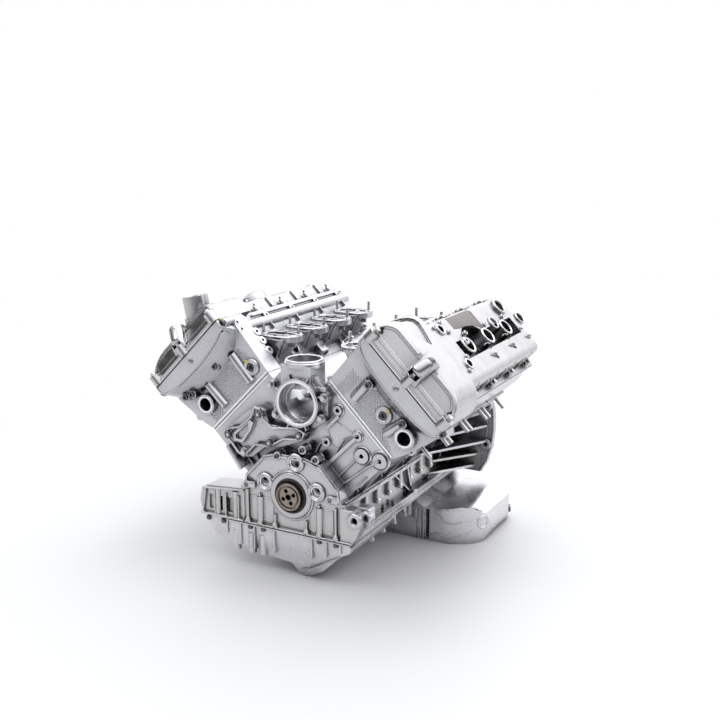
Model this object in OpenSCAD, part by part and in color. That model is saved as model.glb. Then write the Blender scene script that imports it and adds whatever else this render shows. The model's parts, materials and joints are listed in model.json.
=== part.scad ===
// Complete ninety degree V8 engine with four overhead camshafts.
// The crank axis is the Y axis and the front hub face lies on y = 0.
// Each bank is drawn in its own frame: x across the bank, outboard positive, and z along the bores.

/* [Cylinders] */
// Bore diameter
bore_d = 92; // [88:0.5:92]
// Piston stroke
stroke = 75.2; // [74:0.2:76]
// Distance between neighbouring bores of one bank
pitch = 98; // [98:0.5:99]
// Distance along a bank from the crank axis to the head joint
deck_h = 205.7; // [205:0.1:207]
// Distance between the two bores of a connecting rod
rod_l = 140.7; // [140:0.1:141]
// Lengthwise offset between the banks
bank_shift = 19; // [19:0.1:19.4]
// Distance from the hub face to the first right bore
first_bore_y = 116; // [116:0.5:117]

/* [Crankshaft] */
// Diameter of the main journals
main_d = 60; // [58:0.5:61]
// Diameter of the crank pins
pin_d = 52; // [50:0.5:52]
// Outer radius of the counterweights
weight_r = 73; // [70:0.5:74]
// Radius of the front hub
hub_r = 27; // [26:0.5:28]

/* [Cylinder heads] */
// Height of the cover joint above the crank axis along a bank
cover_h = 340; // [340:0.5:341]
// Height of the camshaft axes above the crank axis along a bank
cam_h = 328; // [327.5:0.5:328.5]
// Distance of each camshaft from the line between them
cam_half = 46; // [45.5:0.25:46.5]
// Height of the level intake flanges above the crank axis
intake_z = 280; // [279:0.5:282]

/* [Castings] */
// Front face of the block and heads
front_y = 40; // [39:0.5:41]
// Front face of the chain case bulge and the valve covers
case_y = 5; // [4:0.5:7]
// Rear face of the block
rear_y = 512; // [512:0.5:514]
// Half width of the joint between block and bedplate
skirt_x = 108; // [106:0.5:110]
// Depth of the bedplate below the crank axis
bedplate_h = 72; // [70:0.5:74]
// Depth of the lowest point of the sump below the crank axis
sump_h = 166; // [160:0.5:170]
// Radius of the bellhousing flange
bell_r = 218; // [216:0.5:220]

/* [Hidden] */
$fn = 48;

S = sqrt(0.5);
RIGHT = 1;
LEFT = -1;
gap = 0.02;
run_gap = 0.05;
alu = [0.74, 0.74, 0.77];
cover_alu = [0.62, 0.6, 0.58];
steel = [0.5, 0.5, 0.52];
dark = [0.18, 0.18, 0.19];

crank_r = stroke / 2;
bore_r = bore_d / 2;
main_r = main_d / 2;
pin_r = pin_d / 2;
shell_t = 2.5;
web_half = 13;
mid_y = first_bore_y + bank_shift / 2;
main_y = [for (j = [0:4]) mid_y + pitch * (j - 0.5)];
throw_deg = [0, 90, 270, 180];

deck_in = 84;
deck_out = 72;
case_in = 118;
wall_in = 113;
case_out = 97;
case_back_y = 84;
cavity_y = 62;
tower_half = 7;
gasket_t = 0.7;
head_low = deck_h + gasket_t;
cam_mid = -8;
phaser_r = 30;
cam_u = [cam_mid - cam_half, cam_mid + cam_half];
seat_u = [-23, 19];
seat_h = head_low + 8;
valve_y = [18.5, 17];
cover_low = cover_h + gasket_t;
chain_y = [52, 57];
chain_w = 4;
sprocket_r = 17;
wheel_r = 2 * sprocket_r;
lobe_base = 16;
lobe_top = 24;
journal_r = 13;
tappet_r = 14;
well_r = 14;
port_y_half = 30;
port_x = 97;
joint_z = -bedplate_h;
sump_z = joint_z - 1;
bell_z = 40;
flange_t = 12;
seal_r = 34;

function gx(u, v) = S * (v + u);
function gz(u, v) = S * (v - u);
function bore_y(side, k) = first_bore_y + (side < 0 ? bank_shift : 0) + pitch * k;
function head_rear(side) = bore_y(side, 3) + 82;
function phase(side, k) = throw_deg[k] - 45 * side;
function pin_height(side, k) = let (a = phase(side, k))
    crank_r * cos(a) + sqrt(pow(rod_l, 2) - pow(crank_r * sin(a), 2));
function tower_y(side) = [for (k = [0:4]) bore_y(side, 0) + pitch * (k - 0.5)];

// Corner arc of an outline around c, in steps of fifteen degrees
function arc(c, r, a0, a1) = [for (i = [0:6]) let (a = a0 + (a1 - a0) * i / 6)
    [c[0] + r * cos(a), c[1] + r * sin(a)]];

module on_bank(side) {
    if (side > 0) rotate([0, 45, 0]) children();
    else mirror([1, 0, 0]) rotate([0, 45, 0]) children();
}

// Extrudes a front view outline from y0 to y1
module along_y(y0, y1) {
    translate([0, y1, 0]) rotate([90, 0, 0]) linear_extrude(y1 - y0) children();
}

module rod_y(r, y0, y1, x = 0, z = 0) {
    translate([x, y1, z]) rotate([90, 0, 0]) cylinder(r = r, h = y1 - y0);
}

module box(x0, x1, y0, y1, z0, z1) {
    translate([x0, y0, z0]) cube([x1 - x0, y1 - y0, z1 - z0]);
}

// Straight round bar between two points of a bank's cross section
module bar(u0, v0, u1, v1, y, r) {
    translate([u0, y, v0]) rotate([0, atan2(u1 - u0, v1 - v0), 0])
        cylinder(r = r, h = norm([u1 - u0, v1 - v0]));
}

// Places a child on a valve axis with its origin on the camshaft axis and z pointing to the seat
module on_valve(i) {
    translate([cam_u[i], 0, cam_h])
        rotate([0, 180 + atan2(cam_u[i] - seat_u[i], cam_h - seat_h), 0]) children();
}

module each_valve(side) {
    for (k = [0:3], i = [0, 1], s = [-1, 1])
        translate([0, bore_y(side, k) + s * valve_y[i], 0]) on_valve(i) children();
}

module hex_bolt(d, l, head_af, head_h) {
    translate([0, 0, -l]) cylinder(d = d, h = l);
    cylinder(d = head_af * 1.15, h = head_h, $fn = 6);
    cylinder(d = head_af * 1.35, h = head_h * 0.2);
}

// Crankcase, cylinder banks and the front of the block
bedplate_bolt_x = 40;
skirt_bolt_x = skirt_x - 5;

module block_outline(inner, top_h = deck_h) {
    half = [
        [skirt_x, 0], [skirt_x + 2, 14], [gx(deck_out, 118), gz(deck_out, 118)],
        [gx(deck_out, top_h), gz(deck_out, top_h)], [gx(-inner, top_h), gz(-inner, top_h)],
        [gx(-inner, 132), gz(-inner, 132)]
    ];
    polygon(concat(half, [for (i = [5:-1:0]) [-half[i][0], half[i][1]]]));
}

// The space between the banks behind the front wall
module valley_outline() {
    polygon([[gx(-deck_in, 132), gz(-deck_in, 132)], [gx(-deck_in, 270), gz(-deck_in, 270)],
        [-gx(-deck_in, 270), gz(-deck_in, 270)], [-gx(-deck_in, 132), gz(-deck_in, 132)]]);
}

module bell_outline() {
    intersection() {
        translate([0, bell_z]) circle(r = bell_r, $fn = 96);
        polygon([[-192, -80], [192, -80], [230, 0], [gx(90, 222), gz(90, 222)],
            [gx(86, deck_h - 1), gz(86, deck_h - 1)], [gx(-100, deck_h - 1), gz(-100, deck_h - 1)],
            [-gx(-100, deck_h - 1), gz(-100, deck_h - 1)], [-gx(86, deck_h - 1), gz(86, deck_h - 1)],
            [-gx(90, 222), gz(90, 222)], [-230, 0]]);
    }
}

bell_spots = [[202, -4], [202, 84], [60, 200]];

module bell_holes() {
    for (p = bell_spots, s = [-1, 1]) rod_y(5.2, rear_y - 30, rear_y + 1, s * p[0], p[1]);
}

module crank_tunnel() {
    rod_y(seal_r + gap, case_y, 18);
    rod_y(seal_r - 4, 10, front_y + 8);
    rod_y(main_r + shell_t + gap, front_y, rear_y - 13);
    rod_y(48, main_y[4] + web_half, rear_y - 13);
    rod_y(58, rear_y - 14, rear_y + 1);
}

module crank_bays(r) {
    for (j = [0:3]) rod_y(r, main_y[j] + web_half, main_y[j + 1] - web_half);
    rod_y(r - 30, front_y + 7, main_y[0] - web_half);
}

module side_fins() {
    for (s = [-1, 1], j = [0:4]) scale([s, 1, 1]) along_y(main_y[j] - 3, main_y[j] + 3)
        polygon([[skirt_x - 2, 0], [skirt_x + 6, 0], [gx(deck_out, 118) + 8, gz(deck_out, 118) + 2],
            [gx(deck_out, 176), gz(deck_out, 176)], [gx(deck_out - 4, 120), gz(deck_out - 4, 120)]]);
}

module bell_fins() {
    for (s = [0, 1], f = [[0, 0], [27, 5], [53, 9], [72, 9]]) mirror([s, 0, 0])
        translate([skirt_x - 2, 0, f[0]]) rotate([0, -f[1], 0]) linear_extrude(5) polygon([
            [0, rear_y - 150], [72, rear_y - 10], [100, rear_y - 10], [100, rear_y - 16], [0, rear_y - 190]]);
}

module front_chest() {
    along_y(12, front_y + 2) polygon([[-skirt_x, 0], [skirt_x, 0], [skirt_x - 4, 26], [62, 70],
        [30, 78], [-30, 78], [-62, 70], [-skirt_x + 4, 26]]);
    rod_y(44, 8, 14);
}

front_bosses = [[137, 92, 14], [174, 88, 14], [128, 128, 9], [87, 172, 9], [62, 108, 9]];

module front_ribs() {
    for (p = front_bosses) rod_y(p[2], front_y - 5, front_y + 1, p[0], p[1]);
    for (r = [[44, 44, 124, 124, 3.5], [66, 138, 88, 160, 3]])
        along_y(front_y - 6, front_y + 1) hull() {
            translate([r[0], r[1]]) circle(r = r[4], $fn = 24);
            translate([r[2], r[3]]) circle(r = r[4], $fn = 24);
        }
}

module valley_castings() {
    floor_z = gz(-deck_in, 132) - 2;
    for (k = [0:2]) translate([0, 150 + k * 98, floor_z]) rotate([90, 0, 90])
        translate([0, 0, -34]) intersection() {
            cylinder(r = 34, h = 68);
            translate([-40, 0, 0]) cube([80, 40, 68]);
        }
    rod_y(15, 100, 440, 0, floor_z + 22);
    for (y = [168, 264, 360]) translate([0, y, floor_z]) cylinder(r = 11, h = 44);
}

module engine_block() {
    color(alu) difference() {
        union() {
            difference() {
                along_y(front_y, rear_y) block_outline(wall_in);
                along_y(case_back_y, rear_y + 1) valley_outline();
            }
            intersection() {
                along_y(rear_y - flange_t, rear_y) bell_outline();
                box(-300, 300, 0, 600, 0, 300);
            }
            front_chest();
            side_fins();
            bell_fins();
            front_ribs();
            valley_castings();
            for (s = [-1, 1], j = [0:4]) translate([s * skirt_bolt_x, main_y[j], 0])
                cylinder(r = 9, h = 20);
        }
        crank_tunnel();
        crank_bays(81);
        bell_holes();
        for (side = [RIGHT, LEFT]) on_bank(side) {
            for (k = [0:3]) translate([0, bore_y(side, k), 50]) cylinder(d = bore_d, h = deck_h);
            hull() {
                box(-73, 62, front_y + 6, cavity_y, deck_h - 20, deck_h + 1);
                box(-31, 31, front_y + 6, cavity_y, 20, 30);
            }
            head_bolt_holes(side, 5.6);
        }
        for (p = front_bosses) rod_y(4.2, front_y - 6, front_y + 14, p[0], p[1]);
        front_screw_holes(3.2);
        coolant_hole();
        for (s = [-1, 1], j = [0:4]) {
            translate([s * bedplate_bolt_x, main_y[j], -1]) cylinder(r = 5.1, h = 61);
            translate([s * skirt_bolt_x, main_y[j], -1]) cylinder(r = 4.1, h = 18);
        }
        plug_holes();
        for (p = sensor_spots) translate([p[0], p[1], 140]) {
            cylinder(r = p[2], h = 90);
            translate([0, 0, 35.6]) cylinder(r = 10.5, h = 60);
        }
        box(-400, 400, -10, 600, -100, 0);
    }
}

// Lower half of the crankcase, which carries the main bearings
wing_x = 214;

// Two ribs between the flanges of the bedplate, which meet at a node at y on the lower flange
module bedplate_vee(y) {
    for (d = [-88, -26]) translate([skirt_x - 2, 0, 0]) rotate([90, 0, 90]) linear_extrude(11)
        polygon([[y - 3, joint_z + 3], [y + 3, joint_z + 3], [y + d + 5, -2], [y + d, -2]]);
    translate([skirt_x + 12, y, joint_z]) cylinder(r = 7, h = 14);
}

// A screw boss under the upper flange of the bedplate, with a round foot
module bedplate_boss(y) {
    translate([skirt_x + 5, y, -33]) {
        cylinder(r = 5.6, h = 33);
        cylinder(r1 = 8.4, r2 = 5.6, h = 4);
    }
}

module bedplate() {
    color(cover_alu) difference() {
        union() {
            along_y(12, rear_y) polygon([[-skirt_x, 0], [skirt_x, 0], [skirt_x + 2, joint_z],
                [-skirt_x - 2, joint_z]]);
            box(-skirt_x - 8, skirt_x + 8, 12, rear_y, -8, 0);
            box(-skirt_x - 16, skirt_x + 16, 12, rear_y, joint_z, joint_z + 9);
            intersection() {
                along_y(rear_y - flange_t, rear_y) bell_outline();
                box(-300, 300, 0, 600, joint_z, 0);
            }
            rod_y(44, 8, 14);
            along_y(10, 58) polygon([[-skirt_x, -4], [-196, -12], [-wing_x + 4, -20],
                [-wing_x, -46], [-wing_x + 6, joint_z], [-skirt_x, joint_z]]);
            along_y(8, 34) polygon([[skirt_x, -6], [134, -6], [150, -16], [152, -32],
                [140, -60], [130, joint_z], [skirt_x, joint_z]]);
            for (x = [-170, -128, -70, 62]) translate([x, 12, joint_z])
                cylinder(r = 7, h = bedplate_h - 14);
            for (s = [0, 1]) mirror([s, 0, 0]) {
                for (j = [0:7]) bedplate_boss(98 + j * pitch / 2);
                for (y = [298, 494]) bedplate_vee(y);
            }
            for (s = [-1, 1], z = [-62, -34, -6]) scale([s, 1, 1]) translate([0, 0, z])
                linear_extrude(5) polygon([[skirt_x - 2, rear_y - 120], [bell_r - 24 + z / 4, rear_y - 8],
                    [skirt_x - 2, rear_y - 8]]);
        }
        crank_tunnel();
        crank_bays(78);
        bell_holes();
        for (j = [0:3]) box(-skirt_x + 9, skirt_x - 9, main_y[j] + web_half, main_y[j + 1] - web_half,
            joint_z - 1, -12);
        box(-90, 90, front_y + 7, main_y[0] - web_half, joint_z - 1, -12);
        box(-wing_x + 10, -skirt_x - 8, 18, 59, joint_z + 8, -26);
        for (x = [-192, -152]) box(x, x + 32, 9, 14, joint_z + 12, -30);
        for (s = [-1, 1], j = [0:4]) {
            translate([s * bedplate_bolt_x, main_y[j], joint_z - 1]) cylinder(r = 5.3, h = 80);
            translate([s * bedplate_bolt_x, main_y[j], joint_z - 1]) cylinder(r = 11, h = 16);
            translate([s * skirt_bolt_x, main_y[j], joint_z - 1]) cylinder(r = 4.3, h = 80);
            translate([s * skirt_bolt_x, main_y[j], joint_z - 1]) cylinder(r = 9, h = 20);
        }
        for (x = sump_bolt_x, y = sump_bolt_y) translate([x, y, joint_z - 1]) cylinder(r = 3.1, h = 22);
        rod_y(5.5, 7, 35, 138, -24);
        box(-400, 400, -10, 600, 0, 100);
    }
}

// Sump with a deep front lobe and a wide rear lobe that stands out on the right
sump_bolt_x = [-skirt_x - 8, skirt_x + 8];
sump_bolt_y = [for (j = [0:5]) 40 + j * 84];
lobe_x = 270;
lobe_y = [296, 508];
drain_at = [212, 474, -146];
drain_deg = 30;

module sump_rear_lobe(t) {
    intersection() {
        along_y(lobe_y[0] + t, lobe_y[1] - t) polygon([[-94 + t, sump_z - 8], [126 - t, sump_z - 8 - t],
            [148 - t / 2, sump_z - 22 - t], [182, sump_z - 20 - t], [226, sump_z - 12 - t],
            [246 - t / 2, sump_z - 18 - t], [lobe_x - 8 - t, sump_z - 32], [lobe_x - 2 - t, sump_z - 52],
            [lobe_x - 2 - t, -sump_h + 20], [lobe_x - 10 - t, -sump_h + 4 + t], [lobe_x - 20 - t, -sump_h + t],
            [-84 + t, -sump_h + t], [-94 + t, -sump_h + 12 + t]]);
        translate([0, 0, -200]) linear_extrude(140) polygon(concat(
            arc([lobe_x - 90, lobe_y[0] + 89], 90 - t, -84, 0), arc([lobe_x - 52, lobe_y[1] - 52], 52 - t, 0, 88),
            [[-94 + t, lobe_y[1] - t], [-94 + t, lobe_y[0] + t]]));
    }
}

module sump_front_lobe(t) {
    intersection() {
        along_y(12 + t, 190 - t) polygon([[-skirt_x + t, sump_z - 8], [-skirt_x + t, -116 + t],
            [-60, -138 + t], [-8 + t, -142 + t], [8 + t, -sump_h + 4 + t], [16, -sump_h + t],
            [34, -sump_h + 4 + t], [64 - t, -144], [104 - t, -104], [124 - t, -94], [130 - t, sump_z - 8]]);
        translate([150, 0, 0]) rotate([0, -90, 0]) linear_extrude(300) polygon([[sump_z - 8, 12 + t],
            [-110, 14 + t], [-140, 20 + t], [-sump_h + t, 26 + t], [-sump_h + t, 70 - t], [-140, 120 - t],
            [-100, 186 - t], [sump_z - 8, 190 - t]]);
    }
}

module oil_sump() {
    color(alu) difference() {
        union() {
            box(-skirt_x - 16, skirt_x + 16, 12, rear_y - 14, sump_z - 10, sump_z);
            box(-skirt_x, skirt_x, 14, rear_y - 18, sump_z - 24, sump_z - 8);
            sump_rear_lobe(0);
            sump_front_lobe(0);
            along_y(12, 56) polygon([[-wing_x + 12, sump_z], [-190, -97], [-175, -112],
                [-140, -124], [-skirt_x + 6, -124], [-skirt_x + 6, sump_z]]);
            for (x = [-132, -96, -70]) translate([x, 18, -136]) cylinder(r = 8, h = 40);
            translate(drain_at) rotate([0, 0, drain_deg]) rotate([0, 90, 0]) cylinder(r = 15, h = 50);
        }
        sump_rear_lobe(5);
        sump_front_lobe(5);
        along_y(17, 51) polygon([[-wing_x + 20, sump_z - 11], [-184, -98], [-172, -108],
            [-140, -118], [-skirt_x - 4, -118], [-skirt_x - 4, sump_z - 11]]);
        box(-skirt_x + 6, skirt_x - 6, 34, rear_y - 24, sump_z - 19, sump_z + 1);
        box(150, 158, lobe_y[0] - 1, lobe_y[0] + 3.4, -sump_h - 1, -97);
        for (x = sump_bolt_x, y = sump_bolt_y) {
            translate([x, y, sump_z - 12]) cylinder(r = 3.2, h = 14);
            translate([x, y, -120]) cylinder(r = 7, h = 110 - bedplate_h);
        }
        translate(drain_at) rotate([0, 0, drain_deg]) rotate([0, 90, 0])
            translate([0, 0, 24]) cylinder(r = 6.1, h = 40);
        box(-400, 400, -10, 600, sump_z, 10);
    }
}

module sump_gasket() {
    color(dark) difference() {
        box(-skirt_x - 15, skirt_x + 15, 13, rear_y - 15, sump_z + gap, joint_z - gap);
        box(-skirt_x + 6, skirt_x - 6, 34, rear_y - 24, -100, 0);
        for (x = sump_bolt_x, y = sump_bolt_y) translate([x, y, -100]) cylinder(r = 3.3, h = 40);
    }
}

pipe_z = -87;

module oil_pump() {
    color(alu) difference() {
        union() {
            box(-40, 40, 52, 86, -108, -76);
            rod_y(10, 48, 92, -20, pipe_z);
            rod_y(10, 48, 92, 20, pipe_z + 4);
        }
        rod_y(7 + gap, 86, 93, 20, pipe_z + 4);
    }
}

module oil_pickup() {
    color(steel) difference() {
        union() {
            rod_y(7, 87, 340, 20, pipe_z + 4);
            translate([20, 340, -146]) cylinder(r = 7, h = 146 + pipe_z + 4);
            translate([20, 340, pipe_z + 4]) sphere(r = 7);
            translate([20, 340, -154]) cylinder(r1 = 28, r2 = 9, h = 12);
        }
        rod_y(5, 86, 340, 20, pipe_z + 4);
        translate([20, 340, -155]) cylinder(r = 5, h = 155 + pipe_z + 4);
    }
}

// Cylinder heads
head_bolt_v = 250;
body_u = [-82, 65];
screw_u = [-89, 72];
front_screw_u = [-109, -8, 87];
front_seat = 22.5;

module head_bolt_holes(side, r) {
    for (j = [0:4], u = [-52, 54]) translate([u, tower_y(side)[j], 140]) cylinder(r = r, h = 240);
}

module case_outline(low) {
    polygon(concat([[case_out, cover_h], [-case_in, cover_h], [-case_in, cover_h - low * 0.45]],
        [for (a = [200:14:340]) [cam_mid + (case_in - 12) * cos(a), cover_h - low * 0.35 + low * 0.65 * sin(a) * 1.02]],
        [[case_out, cover_h - low * 0.4]]));
}

module head_outline(side) {
    polygon([[-deck_in, head_low], [deck_out, head_low], [deck_out + 10, head_low + 26],
        [deck_out + 12, 300], [screw_u[1] + 8, 322], [screw_u[1] + 8, cover_h],
        [screw_u[0] - 8, cover_h], [screw_u[0] - 7, 318], [-90, 290], [-deck_in - 2, 250]]);
}

module head_front_outline() {
    polygon([[-wall_in, head_low], [deck_out, head_low], [deck_out + 10, head_low + 26],
        [case_out, 300], [case_out, cover_h], [-case_in, cover_h], [-case_in - 4, 326]]);
}

// One intake runner with its level flange, drawn in the bank frame at y = 0
module intake_runner() {
    rotate([0, -45, 0]) difference() {
        union() {
            translate([port_x, 0, intake_z - 12]) linear_extrude(12) port_flange();
            intersection() {
                rotate([0, 45, 0]) along_y(-port_y_half, port_y_half)
                    polygon([[-80, 224], [-160, 252], [-168, 272], [-150, 296], [-110, 318], [-86, 318]]);
                translate([port_x - 60, -50, 0]) cube([120, 100, intake_z - 6]);
            }
        }
    }
}

module slot_shape(half, r) {
    square([2 * half, 2 * r], center = true);
    for (s = [-1, 1]) translate([s * half, 0]) circle(r = r);
}

module port_flange() {
    slot_shape(22, 22);
    for (s = [-1, 1]) translate([s * 34, -s * 11]) circle(r = 9);
}

module head_ports(side) {
    for (k = [0:3]) translate([0, bore_y(side, k), 0]) {
        rotate([0, -45, 0]) translate([port_x, 0, intake_z - 34]) linear_extrude(40) slot_shape(19, 17);
        for (s = [-1, 1]) {
            translate([0, s * 15, 0]) bar(-26, seat_h + 6, -132, 262, 0, 11);
            bar(20, seat_h + 4, deck_out + 6, 250, s * 12, 10);
        }
        translate([deck_out - 4, 0, 250]) rotate([0, 90, 0]) cylinder(r = 15, h = 30);
        translate([deck_out - 11, 0, 250]) rotate([0, 90, 0]) cylinder(r1 = 9, r2 = 14, h = 8);
        rotate([0, -45, 0]) for (s = [-1, 1])
            translate([port_x + s * 34, -s * 11, intake_z - 12.5]) cylinder(r = 3.1, h = 20);
        for (s = [-1, 1]) translate([deck_out - 6, s * 40, 250]) rotate([0, 90, 0])
            cylinder(r = 4.1, h = 30);
    }
}

module cam_trough(side) {
    difference() {
        union() {
            for (i = [0, 1]) rod_y(lobe_top + 1.5, case_back_y, head_rear(side) - 8, cam_u[i], cam_h);
            box(cam_u[0] - 18, cam_u[1] + 18, case_back_y, head_rear(side) - 8, cam_h - 8, cover_h + 1);
        }
        for (y = tower_y(side), i = [0, 1]) box(cam_u[i] - 20, cam_u[i] + 20,
            y - tower_half, y + tower_half, 280, cover_h);
        for (k = [0:3]) translate([cam_mid, bore_y(side, k), 200]) cylinder(r = well_r + 4, h = 200);
    }
    for (i = [0, 1]) rod_y(journal_r + run_gap, cavity_y - 1, head_rear(side) - 8, cam_u[i], cam_h);
}

module cylinder_head(side) {
    difference() {
        union() {
            along_y(case_back_y, head_rear(side)) head_outline(side);
            along_y(front_y, case_back_y) head_front_outline();
            hull() {
                along_y(case_y, case_y + 1) case_outline(34);
                along_y(front_y, front_y + 1) case_outline(68);
            }
            for (k = [0:3]) translate([0, bore_y(side, k), 0]) {
                intake_runner();
                translate([deck_out + 2, 0, 250]) rotate([0, 90, 0])
                    linear_extrude(14) square([44, 92], center = true);
            }
            for (y = tower_y(side), i = [0, 1])
                rod_y(journal_r + 6, y - tower_half, y + tower_half, cam_u[i], cam_h);
            rod_y(13, case_back_y, head_rear(side) - 4, -90, 322);
            for (p = tube_bosses(side)) bar(p[0], p[1], p[2], p[3], front_y, 10);
            translate([port_uv(side)[0], front_y - 10, port_uv(side)[1]]) rotate([-90, 0, 0]) cylinder(r = 19, h = 12);
            translate([84, front_y + 2, 246]) rotate([-90, 0, 0]) cylinder(r = 8, h = 8);
        }
        cam_trough(side);
        head_ports(side);
        translate([-14, case_y - 11.5, 327]) sphere(r = 14);
        along_y(front_y + 6, cavity_y) polygon([[-73, head_low - 1], [-84, 262], [-99, 290],
            [-99, cover_h + 1], [86, cover_h + 1], [86, 300], [72, 262], [62, head_low - 1]]);
        for (i = [0, 1]) {
            rod_y(phaser_r + 3, 24, front_y + 8, cam_u[i], cam_h);
            box(cam_u[i] - phaser_r - 3, cam_u[i] + phaser_r + 3, 24, front_y + 8, cam_h, cover_h + 1);
        }
        for (k = [0:3]) translate([0, bore_y(side, k), 0]) {
            translate([0, 0, head_low - 38]) sphere(r = 50);
            translate([cam_mid, 0, 240]) cylinder(r = well_r, h = 200);
            translate([cam_mid, 0, head_low]) cylinder(r = 6, h = 60);
        }
        each_valve(side) {
            translate([0, 0, lobe_top - 6]) cylinder(r = tappet_r + gap, h = 40);
            translate([0, 0, lobe_top]) cylinder(r = 3.05, h = 100);
            translate([0, 0, cam_h - seat_h - 6]) cylinder(r = 17.5, h = 30);
        }
        head_bolt_holes(side, 5.7);
        for (j = [0:4], u = [-52, 54]) translate([u, tower_y(side)[j], head_bolt_v])
            cylinder(r = 10, h = 30);
        translate([port_uv(side)[0], front_y - 11, port_uv(side)[1]]) rotate([-90, 0, 0]) cylinder(r = 13, h = 30);
        translate([84, front_y + 1, 246]) rotate([-90, 0, 0]) cylinder(r = 3.3, h = 14);
        translate([plug_uv[side > 0 ? 0 : 1][0], front_y - 1, plug_uv[side > 0 ? 0 : 1][1]])
            rotate([-90, 0, 0]) cylinder(r = 10, h = 6);
        cover_screw_holes(side, 3.1);
        translate([0, 0, cover_h]) linear_extrude(80) square([400, 1200], center = true);
    }
    for (y = tower_y(side), i = [0, 1]) difference() {
        rod_y(journal_r + 6, y - tower_half, y + tower_half, cam_u[i], cam_h);
        rod_y(journal_r + run_gap, y - 9, y + 9, cam_u[i], cam_h);
    }
}

function tube_bosses(side) = side > 0 ? [[-59, 274, -56, 226], [37, 273, 30, 232]]
    : [[-73, 282, -70, 216], [15, 277, 13, 221]];
function port_uv(side) = side > 0 ? [60, 258] : [45, 251];
plug_uv = [[4, 252], [-91, 237]];

module cylinder_head_left() { color(alu) on_bank(LEFT) cylinder_head(LEFT); }
module cylinder_head_right() { color(alu) on_bank(RIGHT) cylinder_head(RIGHT); }

module head_gasket(side) {
    difference() {
        union() {
            box(-deck_in, deck_out, case_back_y, head_rear(side), deck_h + gap, head_low - gap);
            box(-wall_in + 1, deck_out, front_y + 1, case_back_y, deck_h + gap, head_low - gap);
        }
        for (k = [0:3]) translate([0, bore_y(side, k), 200]) cylinder(r = bore_r + 1, h = 10);
        box(-74, 63, front_y + 6, cavity_y, 200, 210);
        head_bolt_holes(side, 6.2);
    }
}

module head_gaskets() {
    color(dark) for (side = [RIGHT, LEFT]) on_bank(side) head_gasket(side);
}

// Valve covers: a front dome over the camshaft phasers and a lower body behind it
dome_back_y = 120;
dome_h = 392;
body_h = 386;
dome_slope = 31;
slope_deg = atan2(dome_slope, dome_h - 7 - cover_low);
trough_u = [-24, 16];
trough_h = 362;
sensor_u = [-58, 24];

module dome_outline(t) {
    polygon(concat([[case_out - t, cover_low], [-case_in + t, cover_low]],
        arc([-case_in + 34, dome_h - 34], 34 - t, 180, 90),
        arc([case_out - 46, dome_h - 46], 46 - t, 90, 0)));
}

module body_outline(t) {
    polygon(concat([[body_u[1] - t, cover_low], [body_u[0] + t, cover_low]],
        arc([body_u[0] + 14, body_h - 14], 14 - t, 180, 90),
        arc([body_u[1] - 16, body_h - 16], 16 - t, 90, 0)));
}

// Space in front of the sloping front face of a cover, moved back by d
module slope_cut(d) {
    translate([-200, 0, 0]) rotate([90, 0, 90]) linear_extrude(400) polygon([
        [case_y - 60, cover_low + 8], [case_y + d, cover_low + 8],
        [case_y + d + dome_slope, dome_h + 1], [case_y - 60, dome_h + 1]]);
}

function screw_row(side) = [for (k = [0:3]) bore_y(side, k) + pitch / 2];

module row_screw_spots(side) {
    for (y = screw_row(side), u = screw_u) translate([u, y, cover_low]) children();
}

module front_screw_spots() {
    for (u = front_screw_u) translate([u, case_y + 6, cover_low]) children();
}

module cover_screw_holes(side, r) {
    row_screw_spots(side) translate([0, 0, -24]) cylinder(r = r, h = 60);
    front_screw_spots() translate([0, 0, -24]) cylinder(r = r, h = 60);
}

// Round groove that runs up the sloping face from the middle screw
module front_groove(r, lift, h) {
    translate([front_screw_u[1], case_y + 3, cover_low + 16]) rotate([-slope_deg, 0, 0])
        translate([0, 0, lift]) cylinder(r = r, h = h);
}

// The dished panel between the edge of a cover's front face and its flange
module front_panel() {
    intersection() {
        slope_cut(2.2);
        along_y(case_y - 1, 60) difference() {
            intersection() {
                dome_outline(9);
                translate([-200, cover_low + 20]) square([400, 60]);
            }
            translate([front_screw_u[1] - 17, cover_low]) square([34, 100]);
        }
    }
}

// Crescent cut into the shoulder of a cover's dome
module dome_crescent() {
    difference() {
        translate([0, 0, cover_low + 8]) linear_extrude(60) polygon([[-112, 46], [-109, 78], [-104, 94],
            [-94, 103], [-82, 105], [-66, 101], [-50, 95], [-35, 89], [-46, 75], [-56, 67],
            [-68, 63], [-84, 61], [-98, 58], [-106, 51]]);
        along_y(case_y, dome_back_y) dome_outline(4.2);
    }
}

// Long hollow between the two cam galleries of a cover, with a round bowl at its front
module cover_trough(side, t) {
    box(trough_u[0] - t, trough_u[1] + t, bore_y(side, 1) - 32 - t, head_rear(side) - 24 + t,
        trough_h - t, body_h + 8);
    intersection() {
        translate([12, bore_y(side, 1) + 54, trough_h - t]) cylinder(r = 60 + t, h = 40);
        box(-80, trough_u[1] + t, 0, 600, trough_h - t, body_h + 8);
    }
}

module cover_body(side) {
    rear = head_rear(side);
    difference() {
        along_y(case_y, dome_back_y) dome_outline(0);
        slope_cut(0);
    }
    intersection() {
        front_groove(17, -4, 56);
        along_y(case_y, dome_back_y) square([400, 3 * cover_h], center = true);
    }
    along_y(dome_back_y - 1, rear - 2) body_outline(0);
    box(-case_in, case_out, case_y, dome_back_y, cover_low, cover_low + 6);
    box(screw_u[0] - 8, screw_u[1] + 8, dome_back_y - 1, rear, cover_low, cover_low + 6);
    row_screw_spots(side) cylinder(r = 8, h = 14);
    front_screw_spots() cylinder(r = 11.5, h = front_seat);
    for (k = [1:3]) translate([cam_mid, bore_y(side, k), cover_low])
        cylinder(r = well_r + 4.5, h = body_h - cover_low + 4);
    for (u = sensor_u) translate([u, bore_y(side, 0) + 49, body_h - 10]) cylinder(r = 12, h = 13);
}

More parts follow.
